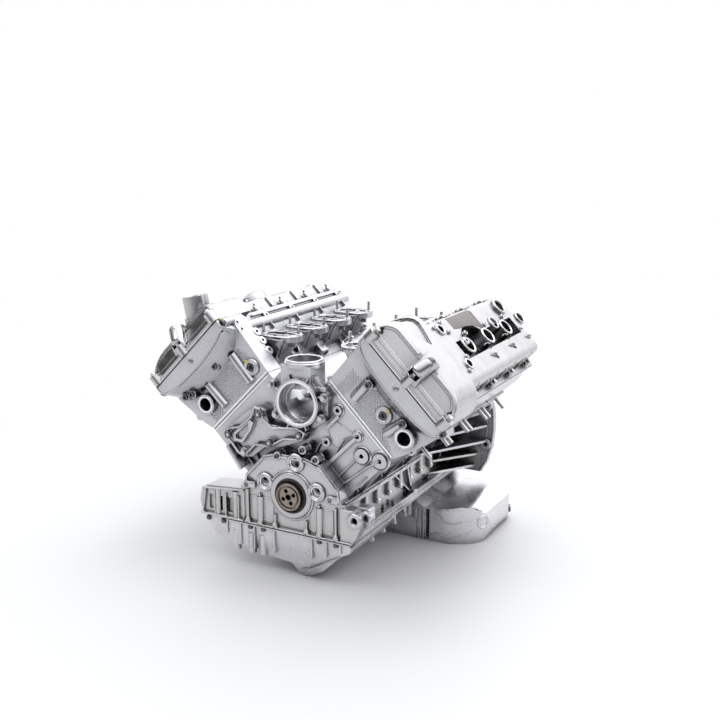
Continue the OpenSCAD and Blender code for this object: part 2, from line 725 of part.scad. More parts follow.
module cover_hollow(side) {
    rear = head_rear(side);
    difference() {
        union() {
            difference() {
                along_y(case_y + 6, dome_back_y - 6) dome_outline(6);
                slope_cut(8);
            }
            along_y(dome_back_y - 8, rear - 8) body_outline(6);
            along_y(case_y + 6, rear - 8) translate([body_u[0] + 6, cover_low - 1])
                square([body_u[1] - body_u[0] - 12, 12]);
        }
        front_screw_spots() translate([0, 0, -1]) cylinder(r = 16, h = 70);
        front_groove(19, -12, 72);
        for (k = [0:3]) translate([cam_mid, bore_y(side, k), cover_low - 1])
            cylinder(r = well_r + 4.5, h = 60);
        cover_trough(side, 5);
        for (y = screw_row(side)) translate([screw_u[1], y, cover_low]) cylinder(r = 16, h = 60);
    }
}

// Leaf shaped hollows along the outer shoulder of a cover
leaf_spots = [for (k = [0:2]) [12, 285 + k * 98], for (k = [0:2]) [36, 283 + k * 98]];

module valve_cover(side) {
    difference() {
        cover_body(side);
        cover_hollow(side);
        front_panel();
        dome_crescent();
        front_groove(12.5, 4, 44);
        front_screw_spots() translate([0, 0, front_seat]) cylinder(r = 12.5, h = 60);
        for (y = screw_row(side)) translate([screw_u[1], y, cover_low + 14]) cylinder(r = 11, h = 60);
        translate([cam_mid, bore_y(side, 0), cover_low - 1]) cylinder(r = well_r, h = 36);
        for (k = [1:3]) translate([cam_mid, bore_y(side, k), cover_low - 1]) cylinder(r = well_r, h = 60);
        difference() {
            union() {
                cover_trough(side, 0);
                box(-77, -20, bore_y(side, 1), bore_y(side, 2) + 18, body_h - 1.6, body_h + 1);
            }
            for (k = [1:3]) translate([cam_mid, bore_y(side, k), cover_low]) cylinder(r = well_r + 4.5, h = 60);
        }
        cover_screw_holes(side, 3.2);
        for (u = sensor_u) translate([u, bore_y(side, 0) + 49, cover_low + 4]) cylinder(r = 8, h = 60);
        for (p = leaf_spots) translate([p[0], p[1] + (side < 0 ? bank_shift : 0), body_h - 3])
            linear_extrude(10) rotate(72) slot_shape(9, 4);
        translate([0, 0, cover_low - 60]) linear_extrude(60) square([400, 1200], center = true);
    }
}

// Oil filler neck, which leans towards the valley, and the round boss behind it
neck_deg = 33;

module neck_rod(r, z0, z1) {
    translate([-34, 74, dome_h - 8]) rotate([0, -neck_deg, 0]) translate([0, 0, z0]) cylinder(r = r, h = z1 - z0);
}

module filler_neck() {
    difference() {
        union() {
            neck_rod(25.5, 0, 58);
            neck_rod(29, 0, 16);
        }
        neck_rod(21, 30, 60);
        translate([0, 0, cover_low]) linear_extrude(dome_h - 5 - cover_low) square([400, 1200], center = true);
    }
    difference() {
        intersection() {
            translate([-42, 262, body_h - 22]) sphere(r = 52);
            translate([-42, 262, body_h - 4]) cylinder(r = 34, h = 60);
        }
        box(-52, -44, 220, 300, body_h + 12, body_h + 60);
        for (k = [0:3]) translate([cam_mid, bore_y(LEFT, k), body_h - 10]) cylinder(r = well_r + 1.5, h = 90);
    }
}

module valve_cover_right() { color(cover_alu) on_bank(RIGHT) valve_cover(RIGHT); }

module valve_cover_left() {
    color(cover_alu) on_bank(LEFT) union() {
        valve_cover(LEFT);
        filler_neck();
    }
}

module cover_gasket(side) {
    rear = head_rear(side);
    difference() {
        union() {
            box(-case_in, case_out, case_y, dome_back_y, cover_h + gap, cover_low - gap);
            box(screw_u[0] - 7, screw_u[1] + 7, dome_back_y - 1, rear, cover_h + gap, cover_low - gap);
        }
        difference() {
            box(-case_in + 8, case_out - 8, case_y + 10, cavity_y, cover_h - 1, cover_low + 1);
            for (u = front_screw_u) translate([u, case_y + 6, cover_h - 2]) cylinder(r = 12, h = 5);
        }
        difference() {
            box(body_u[0] + 6, body_u[1] - 6, cavity_y - 1, rear - 8, cover_h - 1, cover_low + 1);
            for (k = [0:3]) translate([cam_mid, bore_y(side, k), cover_h - 2]) cylinder(r = well_r + 3.5, h = 5);
        }
        for (k = [0:3]) translate([cam_mid, bore_y(side, k), cover_h - 2]) cylinder(r = well_r + 0.5, h = 5);
        cover_screw_holes(side, 3.4);
    }
}

module cover_gaskets() {
    color(dark) for (side = [RIGHT, LEFT]) on_bank(side) cover_gasket(side);
}

// Crankshaft with four throws set ninety degrees apart
module web(y0, y1, a) {
    along_y(y0, y1) rotate(-a) difference() {
        union() {
            circle(r = main_r + 8);
            translate([0, crank_r]) circle(r = pin_r + 6);
            polygon([[-main_r - 6, 0], [main_r + 6, 0], [pin_r + 5, crank_r], [-pin_r - 5, crank_r]]);
            intersection() {
                circle(r = weight_r, $fn = 72);
                polygon([[-80, -14], [-34, 10], [34, 10], [80, -14], [80, -80], [-80, -80]]);
            }
        }
    }
}

module crankshaft() {
    color(steel) difference() {
        union() {
            rod_y(journal_r, 12, main_y[0] - web_half);
            for (j = [0:4]) rod_y(main_r, main_y[j] - web_half, main_y[j] + web_half);
            for (k = [0:3]) {
                y0 = main_y[k] + web_half;
                y1 = main_y[k + 1] - web_half;
                a = throw_deg[k];
                web(y0 + 0.3, y0 + 16.5, a);
                rod_y(main_r, y0, y0 + 1);
                rod_y(main_r, y1 - 1, y1);
                rod_y(pin_r, y0 + 16, y1 - 16, crank_r * sin(a), crank_r * cos(a));
                web(y1 - 16.5, y1 - 0.3, a);
            }
            rod_y(44.9, main_y[4] + web_half + 2, rear_y + 6);
            rod_y(main_r, main_y[4] + web_half - 1, main_y[4] + web_half + 3);
        }
        for (a = [0:45:315]) rod_y(5, rear_y - 14, rear_y + 7, 33 * cos(a), 33 * sin(a));
        rod_y(10, rear_y - 14, rear_y + 7);
        rod_y(5, 11, 50);
    }
}

module crank_hub() {
    color([0.55, 0.5, 0.45]) difference() {
        union() {
            rod_y(hub_r - run_gap, 0, 24);
            rod_y(hub_r - 8, 20, 50 - gap);
        }
        difference() {
            rod_y(hub_r - 4, -1, 3);
            rod_y(hub_r - 8, -2, 4);
        }
        rod_y(journal_r + gap, 11, 51);
        rod_y(6, -1, 12);
        for (a = [25:90:295]) rod_y(4.2, -1, 12, 12.5 * cos(a), 12.5 * sin(a));
    }
}

module toothed_wheel(r, teeth, w) {
    rod_y(r - 1.6, -w / 2, w / 2);
    for (t = [0:teeth - 1]) rotate([0, t * 360 / teeth, 0]) along_y(-w / 2, w / 2)
        polygon([[-2, r - 3], [2, r - 3], [1, r + 1.8], [-1, r + 1.8]]);
}

module crank_sprocket() {
    color(steel) difference() {
        union() {
            for (y = chain_y) translate([0, y, 0]) toothed_wheel(sprocket_r, 18, chain_w - 1);
            rod_y(sprocket_r - 1.6, 50, 61);
        }
        rod_y(journal_r + gap, 49, 62);
    }
}

module main_bearings() {
    color([0.6, 0.55, 0.45]) for (y = main_y) difference() {
        rod_y(main_r + shell_t - gap, y - 11, y + 11);
        rod_y(main_r + run_gap, y - 12, y + 12);
    }
}

module crank_front_seal() {
    color(dark) difference() {
        rod_y(seal_r, 6, 16);
        rod_y(hub_r, 5, 17);
        rod_y(hub_r + 4, 5, 8);
    }
}

module crank_rear_seal() {
    color(dark) difference() {
        rod_y(58 - gap, rear_y - 13, rear_y - 2);
        rod_y(45, rear_y - 15, rear_y);
    }
}

// Pistons and connecting rods, numbered 1 to 4 on the right and 5 to 8 on the left
function bank_of(n) = n < 5 ? RIGHT : LEFT;
function row_of(n) = (n - 1) % 4;

module piston(n) {
    side = bank_of(n);
    k = row_of(n);
    color(alu) on_bank(side) translate([0, bore_y(side, k), pin_height(side, k)]) difference() {
        translate([0, 0, -22]) cylinder(r = bore_r - run_gap, h = 49.4);
        difference() {
            translate([0, 0, -23]) cylinder(r = bore_r - 5, h = 42);
            for (s = [-1, 1]) translate([-15, s * 22 - 12, -16]) cube([30, 24, 40]);
        }
        rod_y(10 + gap, -50, 50);
        for (z = [22, 17.5, 13]) translate([0, 0, z]) difference() {
            cylinder(r = bore_r + 1, h = 1.6);
            cylinder(r = bore_r - 3, h = 1.6);
        }
        for (s = [-1, 1]) translate([-26, s * 60 - 25, -23]) cube([52, 50, 33]);
    }
}

module piston_pins() {
    color(steel) for (n = [1:8]) on_bank(bank_of(n))
        translate([0, bore_y(bank_of(n), row_of(n)), pin_height(bank_of(n), row_of(n))]) difference() {
            rod_y(10, -29, 29);
            rod_y(6, -30, 30);
        }
}

module rod(n) {
    side = bank_of(n);
    k = row_of(n);
    a = phase(side, k);
    y = bore_y(side, k);
    tilt = asin(crank_r * sin(a) / rod_l) * side;
    color(steel) on_bank(side) translate([crank_r * sin(a) * side, y, crank_r * cos(a)])
        rotate([0, -tilt, 0]) difference() {
            union() {
                along_y(-9.4, 9.4) union() {
                    circle(r = pin_r + 6);
                    translate([0, rod_l]) circle(r = 15);
                    polygon([[-18, 20], [18, 20], [10, rod_l - 8], [-10, rod_l - 8]]);
                    translate([-pin_r - 9, -12]) square([2 * pin_r + 18, 22]);
                }
            }
            rod_y(pin_r + run_gap, -10, 10);
            rod_y(10 + run_gap, -10, 10, 0, rod_l);
            for (s = [-1, 1]) translate([0, s * 8.5, 0]) along_y(-4, 4)
                polygon([[-9, 40], [9, 40], [5.5, rod_l - 20], [-5.5, rod_l - 20]]);
        }
}

module piston_1() { piston(1); }
module piston_2() { piston(2); }
module piston_3() { piston(3); }
module piston_4() { piston(4); }
module piston_5() { piston(5); }
module piston_6() { piston(6); }
module piston_7() { piston(7); }
module piston_8() { piston(8); }
module rod_1() { rod(1); }
module rod_2() { rod(2); }
module rod_3() { rod(3); }
module rod_4() { rod(4); }
module rod_5() { rod(5); }
module rod_6() { rod(6); }
module rod_7() { rod(7); }
module rod_8() { rod(8); }

// Camshafts with two lobes for each cylinder
module lobe(w) {
    nose_r = 8;
    nose_d = lobe_top - nose_r;
    t = acos((lobe_base - nose_r) / nose_d);
    along_y(-w / 2, w / 2) union() {
        circle(r = lobe_base);
        translate([0, nose_d]) circle(r = nose_r);
        polygon([[-lobe_base * sin(t), lobe_base * cos(t)], [lobe_base * sin(t), lobe_base * cos(t)],
            [nose_r * sin(t), nose_d + nose_r * cos(t)], [-nose_r * sin(t), nose_d + nose_r * cos(t)]]);
    }
}

module camshaft(side, i) {
    rear = tower_y(side)[4] + 8;
    color(steel) on_bank(side) translate([cam_u[i], 0, cam_h]) difference() {
        union() {
            rod_y(11, 46, rear);
            for (y = tower_y(side)) rod_y(journal_r, y - 6, y + 6);
            for (k = [0:3], s = [-1, 1]) translate([0, bore_y(side, k) + s * valve_y[i], 0])
                rotate([0, throw_deg[k] / 2 + i * 110 + (side > 0 ? 0 : 45), 0]) lobe(11);
        }
        rod_y(5, 45, rear + 1);
    }
}

module phaser(side, i) {
    color(steel) on_bank(side) translate([cam_u[i], 0, cam_h]) difference() {
        union() {
            rod_y(phaser_r, 29, 46);
            rod_y(16, 26, 30);
            rod_y(24, 45, 50);
            translate([0, chain_y[side > 0 ? 0 : 1], 0]) toothed_wheel(wheel_r, 36, chain_w - 1);
            rod_y(wheel_r - 6, 45, 60);
        }
        rod_y(11 + gap, 46, 61);
        for (a = [0:60:300]) rod_y(2.6, 28, 36, 22 * cos(a), 22 * sin(a));
    }
}

module camshaft_intake_left() { camshaft(LEFT, 0); }
module camshaft_exhaust_left() { camshaft(LEFT, 1); }
module camshaft_intake_right() { camshaft(RIGHT, 0); }
module camshaft_exhaust_right() { camshaft(RIGHT, 1); }
module phaser_intake_left() { phaser(LEFT, 0); }
module phaser_exhaust_left() { phaser(LEFT, 1); }
module phaser_intake_right() { phaser(RIGHT, 0); }
module phaser_exhaust_right() { phaser(RIGHT, 1); }

module chain_path(t) {
    hull() {
        circle(r = sprocket_r + t);
        for (u = cam_u) translate([u, cam_h]) circle(r = wheel_r + t);
    }
}

module timing_chain(side) {
    y = chain_y[side > 0 ? 0 : 1];
    color(dark) on_bank(side) along_y(y - chain_w / 2 + 0.2, y + chain_w / 2 - 0.2) difference() {
        chain_path(4.1);
        chain_path(2.3);
    }
}

module timing_chain_left() { timing_chain(LEFT); }
module timing_chain_right() { timing_chain(RIGHT); }

module chain_guides() {
    color([0.3, 0.26, 0.2]) for (side = [RIGHT, LEFT]) on_bank(side) intersection() {
        along_y(49.5, 60) difference() {
            chain_path(7.2);
            chain_path(4.4);
        }
        union() {
            box(-120, -20, 40, 70, 70, 190);
            box(20, 120, 40, 70, 70, 190);
        }
    }
}

// Valve train
module valves() {
    color(steel) for (side = [RIGHT, LEFT]) on_bank(side) each_valve(side) {
        translate([0, 0, lobe_top + 5]) cylinder(r = 3, h = 90);
        translate([0, 0, cam_h - seat_h]) cylinder(r1 = 3, r2 = 15, h = 7);
    }
}

module valve_springs() {
    color(steel) for (side = [RIGHT, LEFT]) on_bank(side) each_valve(side)
        translate([0, 0, lobe_top + 6]) rotate_extrude() difference() {
            translate([9, 0]) square([3, 26]);
            for (z = [3:6:24]) translate([12, z]) circle(r = 1.4);
        }
}

module tappets() {
    color(steel) for (side = [RIGHT, LEFT]) on_bank(side) each_valve(side)
        translate([0, 0, lobe_top + 0.4]) difference() {
            cylinder(r = tappet_r - run_gap, h = 24);
            translate([0, 0, 4]) cylinder(r = tappet_r - 1.6, h = 24);
        }
}

// Coolant castings at the front
housing_x = 12;
housing_z = 181;
bore_front_r = 38;
front_screws = [[-48, 208], [-38, 152], [61, 157], [67, 197]];
cover_screws = [[-76, 147], [-147, 97], [-112, 66], [-52, 94], [14, 118]];

module coolant_hole() {
    rod_y(30, front_y - 1, front_y + 24, housing_x, housing_z - 4);
}

module front_screw_holes(r) {
    for (p = front_screws) rod_y(r, 10, front_y + 14, p[0], p[1]);
    for (p = cover_screws) rod_y(r, 10, front_y + 14, p[0], p[1]);
}

module coolant_housing() {
    color(alu) difference() {
        union() {
            rod_y(bore_front_r + 8, 14, front_y, housing_x, housing_z);
            along_y(30, front_y) polygon([[-44, 142], [-56, 206], [-34, 232], [44, 232], [72, 204],
                [68, 152], [40, 134], [-20, 134]]);
            for (p = front_screws) rod_y(8.5, 20, front_y, p[0], p[1]);
            translate([housing_x - 6, 54, 244]) cylinder(r = 36, h = 14);
            box(housing_x - 38, housing_x + 26, 22, 76, 200, 250);
            box(housing_x + 20, housing_x + 56, 26, front_y, 206, 214);
        }
        rod_y(bore_front_r, 13, 28, housing_x, housing_z);
        rod_y(33, 27, front_y + 1, housing_x + 2, housing_z - 2);
        translate([housing_x - 6, 54, 216]) cylinder(r = 31, h = 60);
        translate([housing_x, 34, 196]) cylinder(r = 13, h = 30);
        front_screw_holes(3.3);
    }
}

module coolant_cover() {
    color(alu) difference() {
        union() {
            along_y(28, front_y) polygon([[-156, 80], [-166, 92], [-158, 106], [-104, 150],
                [-82, 160], [-66, 154], [-58, 128], [-30, 126], [12, 132], [26, 122], [18, 106],
                [-40, 84], [-64, 84], [-100, 56], [-118, 54], [-124, 78]]);
            for (p = cover_screws) rod_y(9, 20, front_y, p[0], p[1]);
            along_y(20, 30) polygon([[-136, 86], [-138, 100], [-100, 134], [-90, 128], [-96, 112],
                [-116, 84]]);
        }
        along_y(16, 26) polygon([[-130, 90], [-132, 98], [-102, 126], [-100, 114], [-118, 90]]);
        front_screw_holes(3.3);
    }
}

// Fasteners and small pieces
module bedplate_bolts() {
    color(dark) for (s = [-1, 1], j = [0:4]) {
        translate([s * bedplate_bolt_x, main_y[j], joint_z + 15]) rotate([180, 0, 0])
            hex_bolt(10, 110, 15, 9);
        translate([s * skirt_bolt_x, main_y[j], joint_z + 19]) rotate([180, 0, 0])
            hex_bolt(8, 64, 12, 8);
    }
}

module sump_bolts() {
    color(dark) for (x = sump_bolt_x, y = sump_bolt_y) translate([x, y, sump_z - 10]) rotate([180, 0, 0])
        hex_bolt(6, 28, 9, 6);
}

module cover_bolts() {
    color(steel) for (side = [RIGHT, LEFT]) on_bank(side) {
        row_screw_spots(side) translate([0, 0, 14]) hex_bolt(6, 32, 9, 7);
        front_screw_spots() translate([0, 0, front_seat]) hex_bolt(6, 40, 10, 7);
    }
}

module port_studs() {
    color(steel) for (side = [RIGHT, LEFT], k = [0:3]) on_bank(side) translate([0, bore_y(side, k), 0]) {
        rotate([0, -45, 0]) for (s = [-1, 1])
            translate([port_x + s * 34, -s * 11, intake_z]) {
                cylinder(r = 3, h = 22);
                translate([0, 0, -12]) cylinder(r = 2.6, h = 13);
            }
        for (s = [-1, 1]) translate([deck_out + 16, s * 40, 250]) rotate([0, 90, 0]) {
            cylinder(r = 4, h = 25);
            translate([0, 0, -21]) cylinder(r = 3.5, h = 22);
        }
    }
}

module plug_holes() {
    for (p = [[-58, 24], [14, 64], [60, 22], [-94, 12]]) rod_y(9, 11, 22, p[0], p[1]);
}

module socket_plug(r) {
    difference() {
        cylinder(r = r, h = 6);
        translate([0, 0, 2]) cylinder(r = r * 0.55, h = 5, $fn = 6);
    }
}

module socket_plugs() {
    color(dark) {
        for (p = [[-58, 24], [14, 64], [60, 22], [-94, 12]]) translate([p[0], 17, p[1]])
            rotate([90, 0, 0]) socket_plug(9 - gap);
        for (i = [0, 1]) on_bank(i == 0 ? RIGHT : LEFT)
            translate([plug_uv[i][0], front_y + 4, plug_uv[i][1]]) rotate([90, 0, 0]) socket_plug(10 - gap);
    }
}

module head_bolts() {
    color(dark) for (side = [RIGHT, LEFT], j = [0:4], u = [-52, 54]) on_bank(side)
        translate([u, tower_y(side)[j], head_bolt_v]) hex_bolt(11, 105, 14, 10);
}

sensor_spots = [[34, 330, 8.1], [34, 392, 8.1]];

module valley_sensors() {
    color(steel) for (p = sensor_spots) translate([p[0], p[1], 150]) {
        cylinder(r = 8, h = 26);
        translate([0, 0, 26]) cylinder(r = 10, h = 14);
    }
}

module drain_plug() {
    color(dark) translate(drain_at) rotate([0, 0, drain_deg]) rotate([0, 90, 0]) {
        translate([0, 0, 28]) cylinder(r = 6, h = 23);
        translate([0, 0, 50]) cylinder(d = 19, h = 6, $fn = 6);
    }
}

module front_bolts() {
    color(steel) {
        for (p = front_screws) translate([p[0], 20, p[1]]) rotate([90, 0, 0]) hex_bolt(6, 30, 9, 6);
        for (p = cover_screws) translate([p[0], 20, p[1]]) rotate([90, 0, 0]) hex_bolt(6, 32, 9, 6);
    }
}

engine_block();
bedplate();
oil_sump();
sump_gasket();
oil_pickup();
oil_pump();
coolant_cover();
coolant_housing();
cylinder_head_left();
cylinder_head_right();
head_gaskets();
valve_cover_left();
valve_cover_right();
cover_gaskets();
crank_front_seal();
crank_rear_seal();
crankshaft();
crank_hub();
crank_sprocket();
main_bearings();
piston_1();
piston_2();
piston_3();
piston_4();
piston_5();
piston_6();
piston_7();
piston_8();
rod_1();
rod_2();
rod_3();
rod_4();
rod_5();
rod_6();
rod_7();
rod_8();
piston_pins();
camshaft_intake_left();
camshaft_exhaust_left();
camshaft_intake_right();
camshaft_exhaust_right();
phaser_intake_left();
phaser_exhaust_left();
phaser_intake_right();
phaser_exhaust_right();
timing_chain_left();
timing_chain_right();
chain_guides();
valves();
valve_springs();
tappets();
bedplate_bolts();
cover_bolts();
sump_bolts();
port_studs();
socket_plugs();
head_bolts();
valley_sensors();
drain_plug();
front_bolts();
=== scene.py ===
"""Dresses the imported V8 engine with cast, machined and rubber finishes, adds the details of its castings, and
sets it on a pale floor in soft studio light."""

import json
import logging
import math
from dataclasses import dataclass, field
from enum import Enum
from typing import Mapping, Sequence

import bmesh
import bpy
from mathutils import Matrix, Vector

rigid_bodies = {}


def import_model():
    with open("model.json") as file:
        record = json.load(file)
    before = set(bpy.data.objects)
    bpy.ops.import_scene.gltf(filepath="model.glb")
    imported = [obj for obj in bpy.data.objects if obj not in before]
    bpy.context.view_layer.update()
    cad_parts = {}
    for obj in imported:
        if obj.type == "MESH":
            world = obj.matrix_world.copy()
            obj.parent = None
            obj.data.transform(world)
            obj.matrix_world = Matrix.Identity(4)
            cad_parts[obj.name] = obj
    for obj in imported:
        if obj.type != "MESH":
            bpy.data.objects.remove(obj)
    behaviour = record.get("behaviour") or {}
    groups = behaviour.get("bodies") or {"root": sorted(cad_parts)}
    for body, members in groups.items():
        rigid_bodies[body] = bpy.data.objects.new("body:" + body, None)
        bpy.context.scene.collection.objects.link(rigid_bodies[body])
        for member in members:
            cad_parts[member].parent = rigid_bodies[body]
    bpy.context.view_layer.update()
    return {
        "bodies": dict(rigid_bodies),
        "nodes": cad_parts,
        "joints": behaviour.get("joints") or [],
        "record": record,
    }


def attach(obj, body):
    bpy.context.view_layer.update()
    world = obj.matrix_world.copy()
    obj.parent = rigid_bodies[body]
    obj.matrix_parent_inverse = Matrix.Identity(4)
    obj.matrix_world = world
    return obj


LOG = logging.getLogger("engine")
MM = 0.001
SLANT = math.sqrt(0.5)
FRONT_Y = 40.0
CASE_Y = 5.0
COVER_LOW = 340.7
DOME_H = 392.0
BODY_H = 386.0
DOME_SLOPE = 31.0
DOME_LEDGE = 8.0
DOME_BACK_Y = 120.0
CAM_MID = -8.0
PITCH = 98.0
FIRST_BORE_Y = 116.0
BANK_SHIFT = 19.0
SKIRT_X = 108.0
INTAKE_Z = 280.0
PORT_X = 97.0
CYLINDERS = range(4)
SMOOTH_ANGLE = 38.0

Pair = tuple[float, float]
Triple = tuple[float, float, float]
Socket = bpy.types.NodeSocket

ACROSS = Vector((1, 0, 0))
BACK = Vector((0, 1, 0))
UP = Vector((0, 0, 1))


class Side(Enum):
    """The two banks of cylinders, as seen from the front."""

    RIGHT = 1
    LEFT = -1

    def bore_y(self, index: int) -> float:
        """Distance in mm of a bore's axis behind the crank hub."""
        return FIRST_BORE_Y + self.shift + PITCH * index

    @property
    def shift(self) -> float:
        """How far this bank stands behind the right one, in mm."""
        return BANK_SHIFT if self is Side.LEFT else 0.0

    @property
    def tag(self) -> str:
        """The side's name in piece names."""
        return self.name.lower()

    @property
    def outward(self) -> Vector:
        """Away from the valley, square to the bores."""
        return Vector((self.value * SLANT, 0, -SLANT))

    @property
    def along(self) -> Vector:
        """Up along the bores."""
        return Vector((self.value * SLANT, 0, SLANT))


class Graph:
    """A node tree that is filled one node at a time."""

    def __init__(self, owner: bpy.types.Material | bpy.types.World) -> None:
        """Opens the node tree of a material or of the world."""
        owner.use_nodes = True
        self.tree = owner.node_tree

    def feed(self, node: bpy.types.Node, inputs: Mapping[str | int, object]) -> None:
        """Sets a node's inputs, or links those whose value is another node's output."""
        for name, value in inputs.items():
            if isinstance(value, Socket):
                self.tree.links.new(value, node.inputs[name])
            else:
                node.inputs[name].default_value = value

    def add(self, kind: str, output: str, inputs: Mapping[str | int, object] | None = None,
            **settings: object) -> Socket:
        """Adds a node.

        Args:
            kind: the node's type without its prefix.
            output: the output that is used.
            inputs: a value or another node's output for each input.
            settings: the node's own properties.

        Returns:
            The named output.
        """
        node = self.tree.nodes.new("ShaderNode" + kind)
        for name, value in settings.items():
            setattr(node, name, value)
        self.feed(node, inputs or {})
        return node.outputs[output]

    def span(self, value: Socket, source: Pair, target: Pair, **settings: object) -> Socket:
        """Maps one range of a value onto another."""
        return self.add("MapRange", "Result", {"Value": value, "From Min": source[0], "From Max": source[1],
                                               "To Min": target[0], "To Max": target[1]}, **settings)


@dataclass(frozen=True)
class Finish:
    """A procedural surface finish.

    Lengths are in metres, and scales in features per metre.
    """

    name: str
    colour: Triple
    metallic: float = 1.0
    roughness: float = 0.4
    wander: float = 0.1
    mottle: float = 30.0
    grain: float = 850.0
    bump: float = 0.25
    depth: float = 0.0003
    edge: float = 0.0016
    # how far edges are brightened: partly rubbed wear, partly painted highlight
    wear_and_glint: float = 0.25
    # how far corners and crevices are darkened by ambient occlusion: painted shade
    corner_shade: float = 0.55
    reach: float = 0.03
    lines: float = 0.0
    slot: str = "cast_aluminium"
    patch_range: Pair = (0.3, 0.7)
    edge_range: Pair = (0.985, 0.8)
    corner_range: Pair = (0.2, 0.95)

    def tint(self, graph: Graph, patches: Socket, rounded: Socket) -> Socket:
        """The colour: mottled, darkened in corners by ambient occlusion, which is painted shade, and brighter on
        edges, which is partly rubbed wear and partly painted highlight.

        Args:
            graph: the material's nodes.
            patches: the slow noise of the surface.
            rounded: the normal with rounded edges.

        Returns:
            The colour's output.
        """
        tone = graph.span(patches, self.patch_range, (1.0 - self.wander, 1.0 + self.wander * 0.5))
        # Edges brighten where the rounded normal turns from the true one: partly rubbed wear, partly painted
        # highlight.
        flat = graph.add("NewGeometry", "True Normal")
        turn = graph.add("VectorMath", "Value", {0: rounded, 1: flat}, operation="DOT_PRODUCT")
        rub = graph.span(turn, self.edge_range, (0.0, self.wear_and_glint))
        # Painted shade: ambient occlusion darkens corners, creases and the gaps between parts.
        corners = graph.add("AmbientOcclusion", "AO", {"Distance": self.reach}, samples=6)
        ao_shade = graph.span(corners, self.corner_range, (1.0 - self.corner_shade, 1.0))
        shade = graph.add("Math", "Value", {0: tone, 1: ao_shade}, operation="MULTIPLY")
        base = graph.add("VectorMath", "Vector", {0: self.colour, "Scale": shade}, operation="SCALE")
        # The lighter edge colour, partly wear and partly painted highlight.
        worn_and_lit = (*(min(c * 1.3 + 0.1, 1.0) for c in self.colour), 1.0)
        return graph.add("Mix", "Result", {"B": worn_and_lit, "Factor": rub, "A": base}, data_type="RGBA")

    def material(self) -> bpy.types.Material:
        """Builds the finish once and returns its material.

        Returns:
            The material, taken from the file if it was built before.
        """
        if self.name in bpy.data.materials:
            return bpy.data.materials[self.name]
        mat = bpy.data.materials.new(self.name)
        graph = Graph(mat)
        place = graph.add("TexCoord", "Object")
        patches = graph.add("TexNoise", "Fac", {"Scale": self.mottle, "Detail": 6.0, "Roughness": 0.62,
                                                "Vector": place})
        swing = self.wander * 0.6
        rough = graph.span(patches, self.patch_range,
                           (max(self.roughness - swing, 0.05), min(self.roughness + swing, 1.0)))
        rounded = graph.add("Bevel", "Normal", {"Radius": self.edge}, samples=4)
        sand = graph.add("TexNoise", "Fac", {"Scale": self.grain, "Detail": 3.0, "Vector": place})
        normal = graph.add("Bump", "Normal", {"Strength": self.bump, "Distance": self.depth, "Height": sand,
                                              "Normal": rounded})
        if self.lines > 0:
            cut = graph.add("TexWave", "Fac", {"Scale": self.lines, "Distortion": 1.5, "Vector": place},
                            wave_type="RINGS")
            normal = graph.add("Bump", "Normal", {"Strength": 0.12, "Distance": 0.0002, "Height": cut,
                                                  "Normal": normal})
        graph.feed(mat.node_tree.nodes["Principled BSDF"], {
            "Metallic": self.metallic, "Roughness": rough, "Normal": normal,
            "Base Color": self.tint(graph, patches, rounded)})
        return mat

    def dress(self, obj: bpy.types.Object) -> None:
        """Gives an object this finish and no other."""
        obj.data.materials.clear()
        obj.data.materials.append(self.material())


CAST = Finish("silver_casting", (0.6, 0.597, 0.625), roughness=0.29, bump=0.28, corner_shade=0.85, wear_and_glint=0.9)
SUMP_CAST = Finish("sump_casting", (0.74, 0.735, 0.76), roughness=0.29, bump=0.28, corner_shade=0.8, wear_and_glint=0.75)
COVER = Finish("cover_casting", (0.55, 0.537, 0.542), roughness=0.28, bump=0.24, corner_shade=0.75, wear_and_glint=0.8,
               slot="cover_aluminium")
BED = Finish("bedplate_casting", (0.6, 0.588, 0.588), roughness=0.3, bump=0.28, corner_shade=0.8, wear_and_glint=0.75,
             slot="cover_aluminium")
MILLED = Finish("milled_aluminium", (0.86, 0.86, 0.88), roughness=0.24, bump=0.06, wander=0.06, lines=260.0,
                edge=0.0008, corner_shade=0.4)
STEEL = Finish("bright_steel", (0.62, 0.61, 0.60), roughness=0.26, bump=0.05, edge=0.0006, corner_shade=0.45,
               slot="steel")
DARK_STEEL = Finish("blackened_steel", (0.17, 0.165, 0.165), roughness=0.38, bump=0.1, edge=0.0006, corner_shade=0.5,
                    slot="dark_steel")
RUBBER = Finish("black_rubber", (0.02, 0.02, 0.021), metallic=0.0, roughness=0.55, bump=0.15, wear_and_glint=0.05,
                slot="gasket")
HUB = Finish("hub_steel", (0.33, 0.28, 0.24), roughness=0.34, bump=0.12, edge=0.0006, lines=400.0,
             slot="steel")
BEARING = Finish("shell_metal", (0.6, 0.52, 0.4), roughness=0.3, bump=0.05, edge=0.0005)
GUIDE = Finish("brown_plastic", (0.2, 0.16, 0.1), metallic=0.0, roughness=0.45, bump=0.1)
PAINT = Finish("yellow_paint", (0.75, 0.6, 0.05), metallic=0.0, roughness=0.4, bump=0.15, corner_shade=0.2,
               slot="guide_plastic")
# A dark plate colour that paints the shade in the pocket on the cover's top.
SHADED_RECESS = Finish("recess_painted_shade", (0.2, 0.187, 0.178), metallic=0.35, roughness=0.55, bump=0.1, corner_shade=0.5,
                   slot="cover_aluminium")
# Near-black discs and plates that paint the shade inside holes, slots and ports.
SHADOW = Finish("painted_hollow_shade", (0.015, 0.015, 0.016), metallic=0.0, roughness=0.7, bump=0.1, wear_and_glint=0.0,
                slot="gasket")


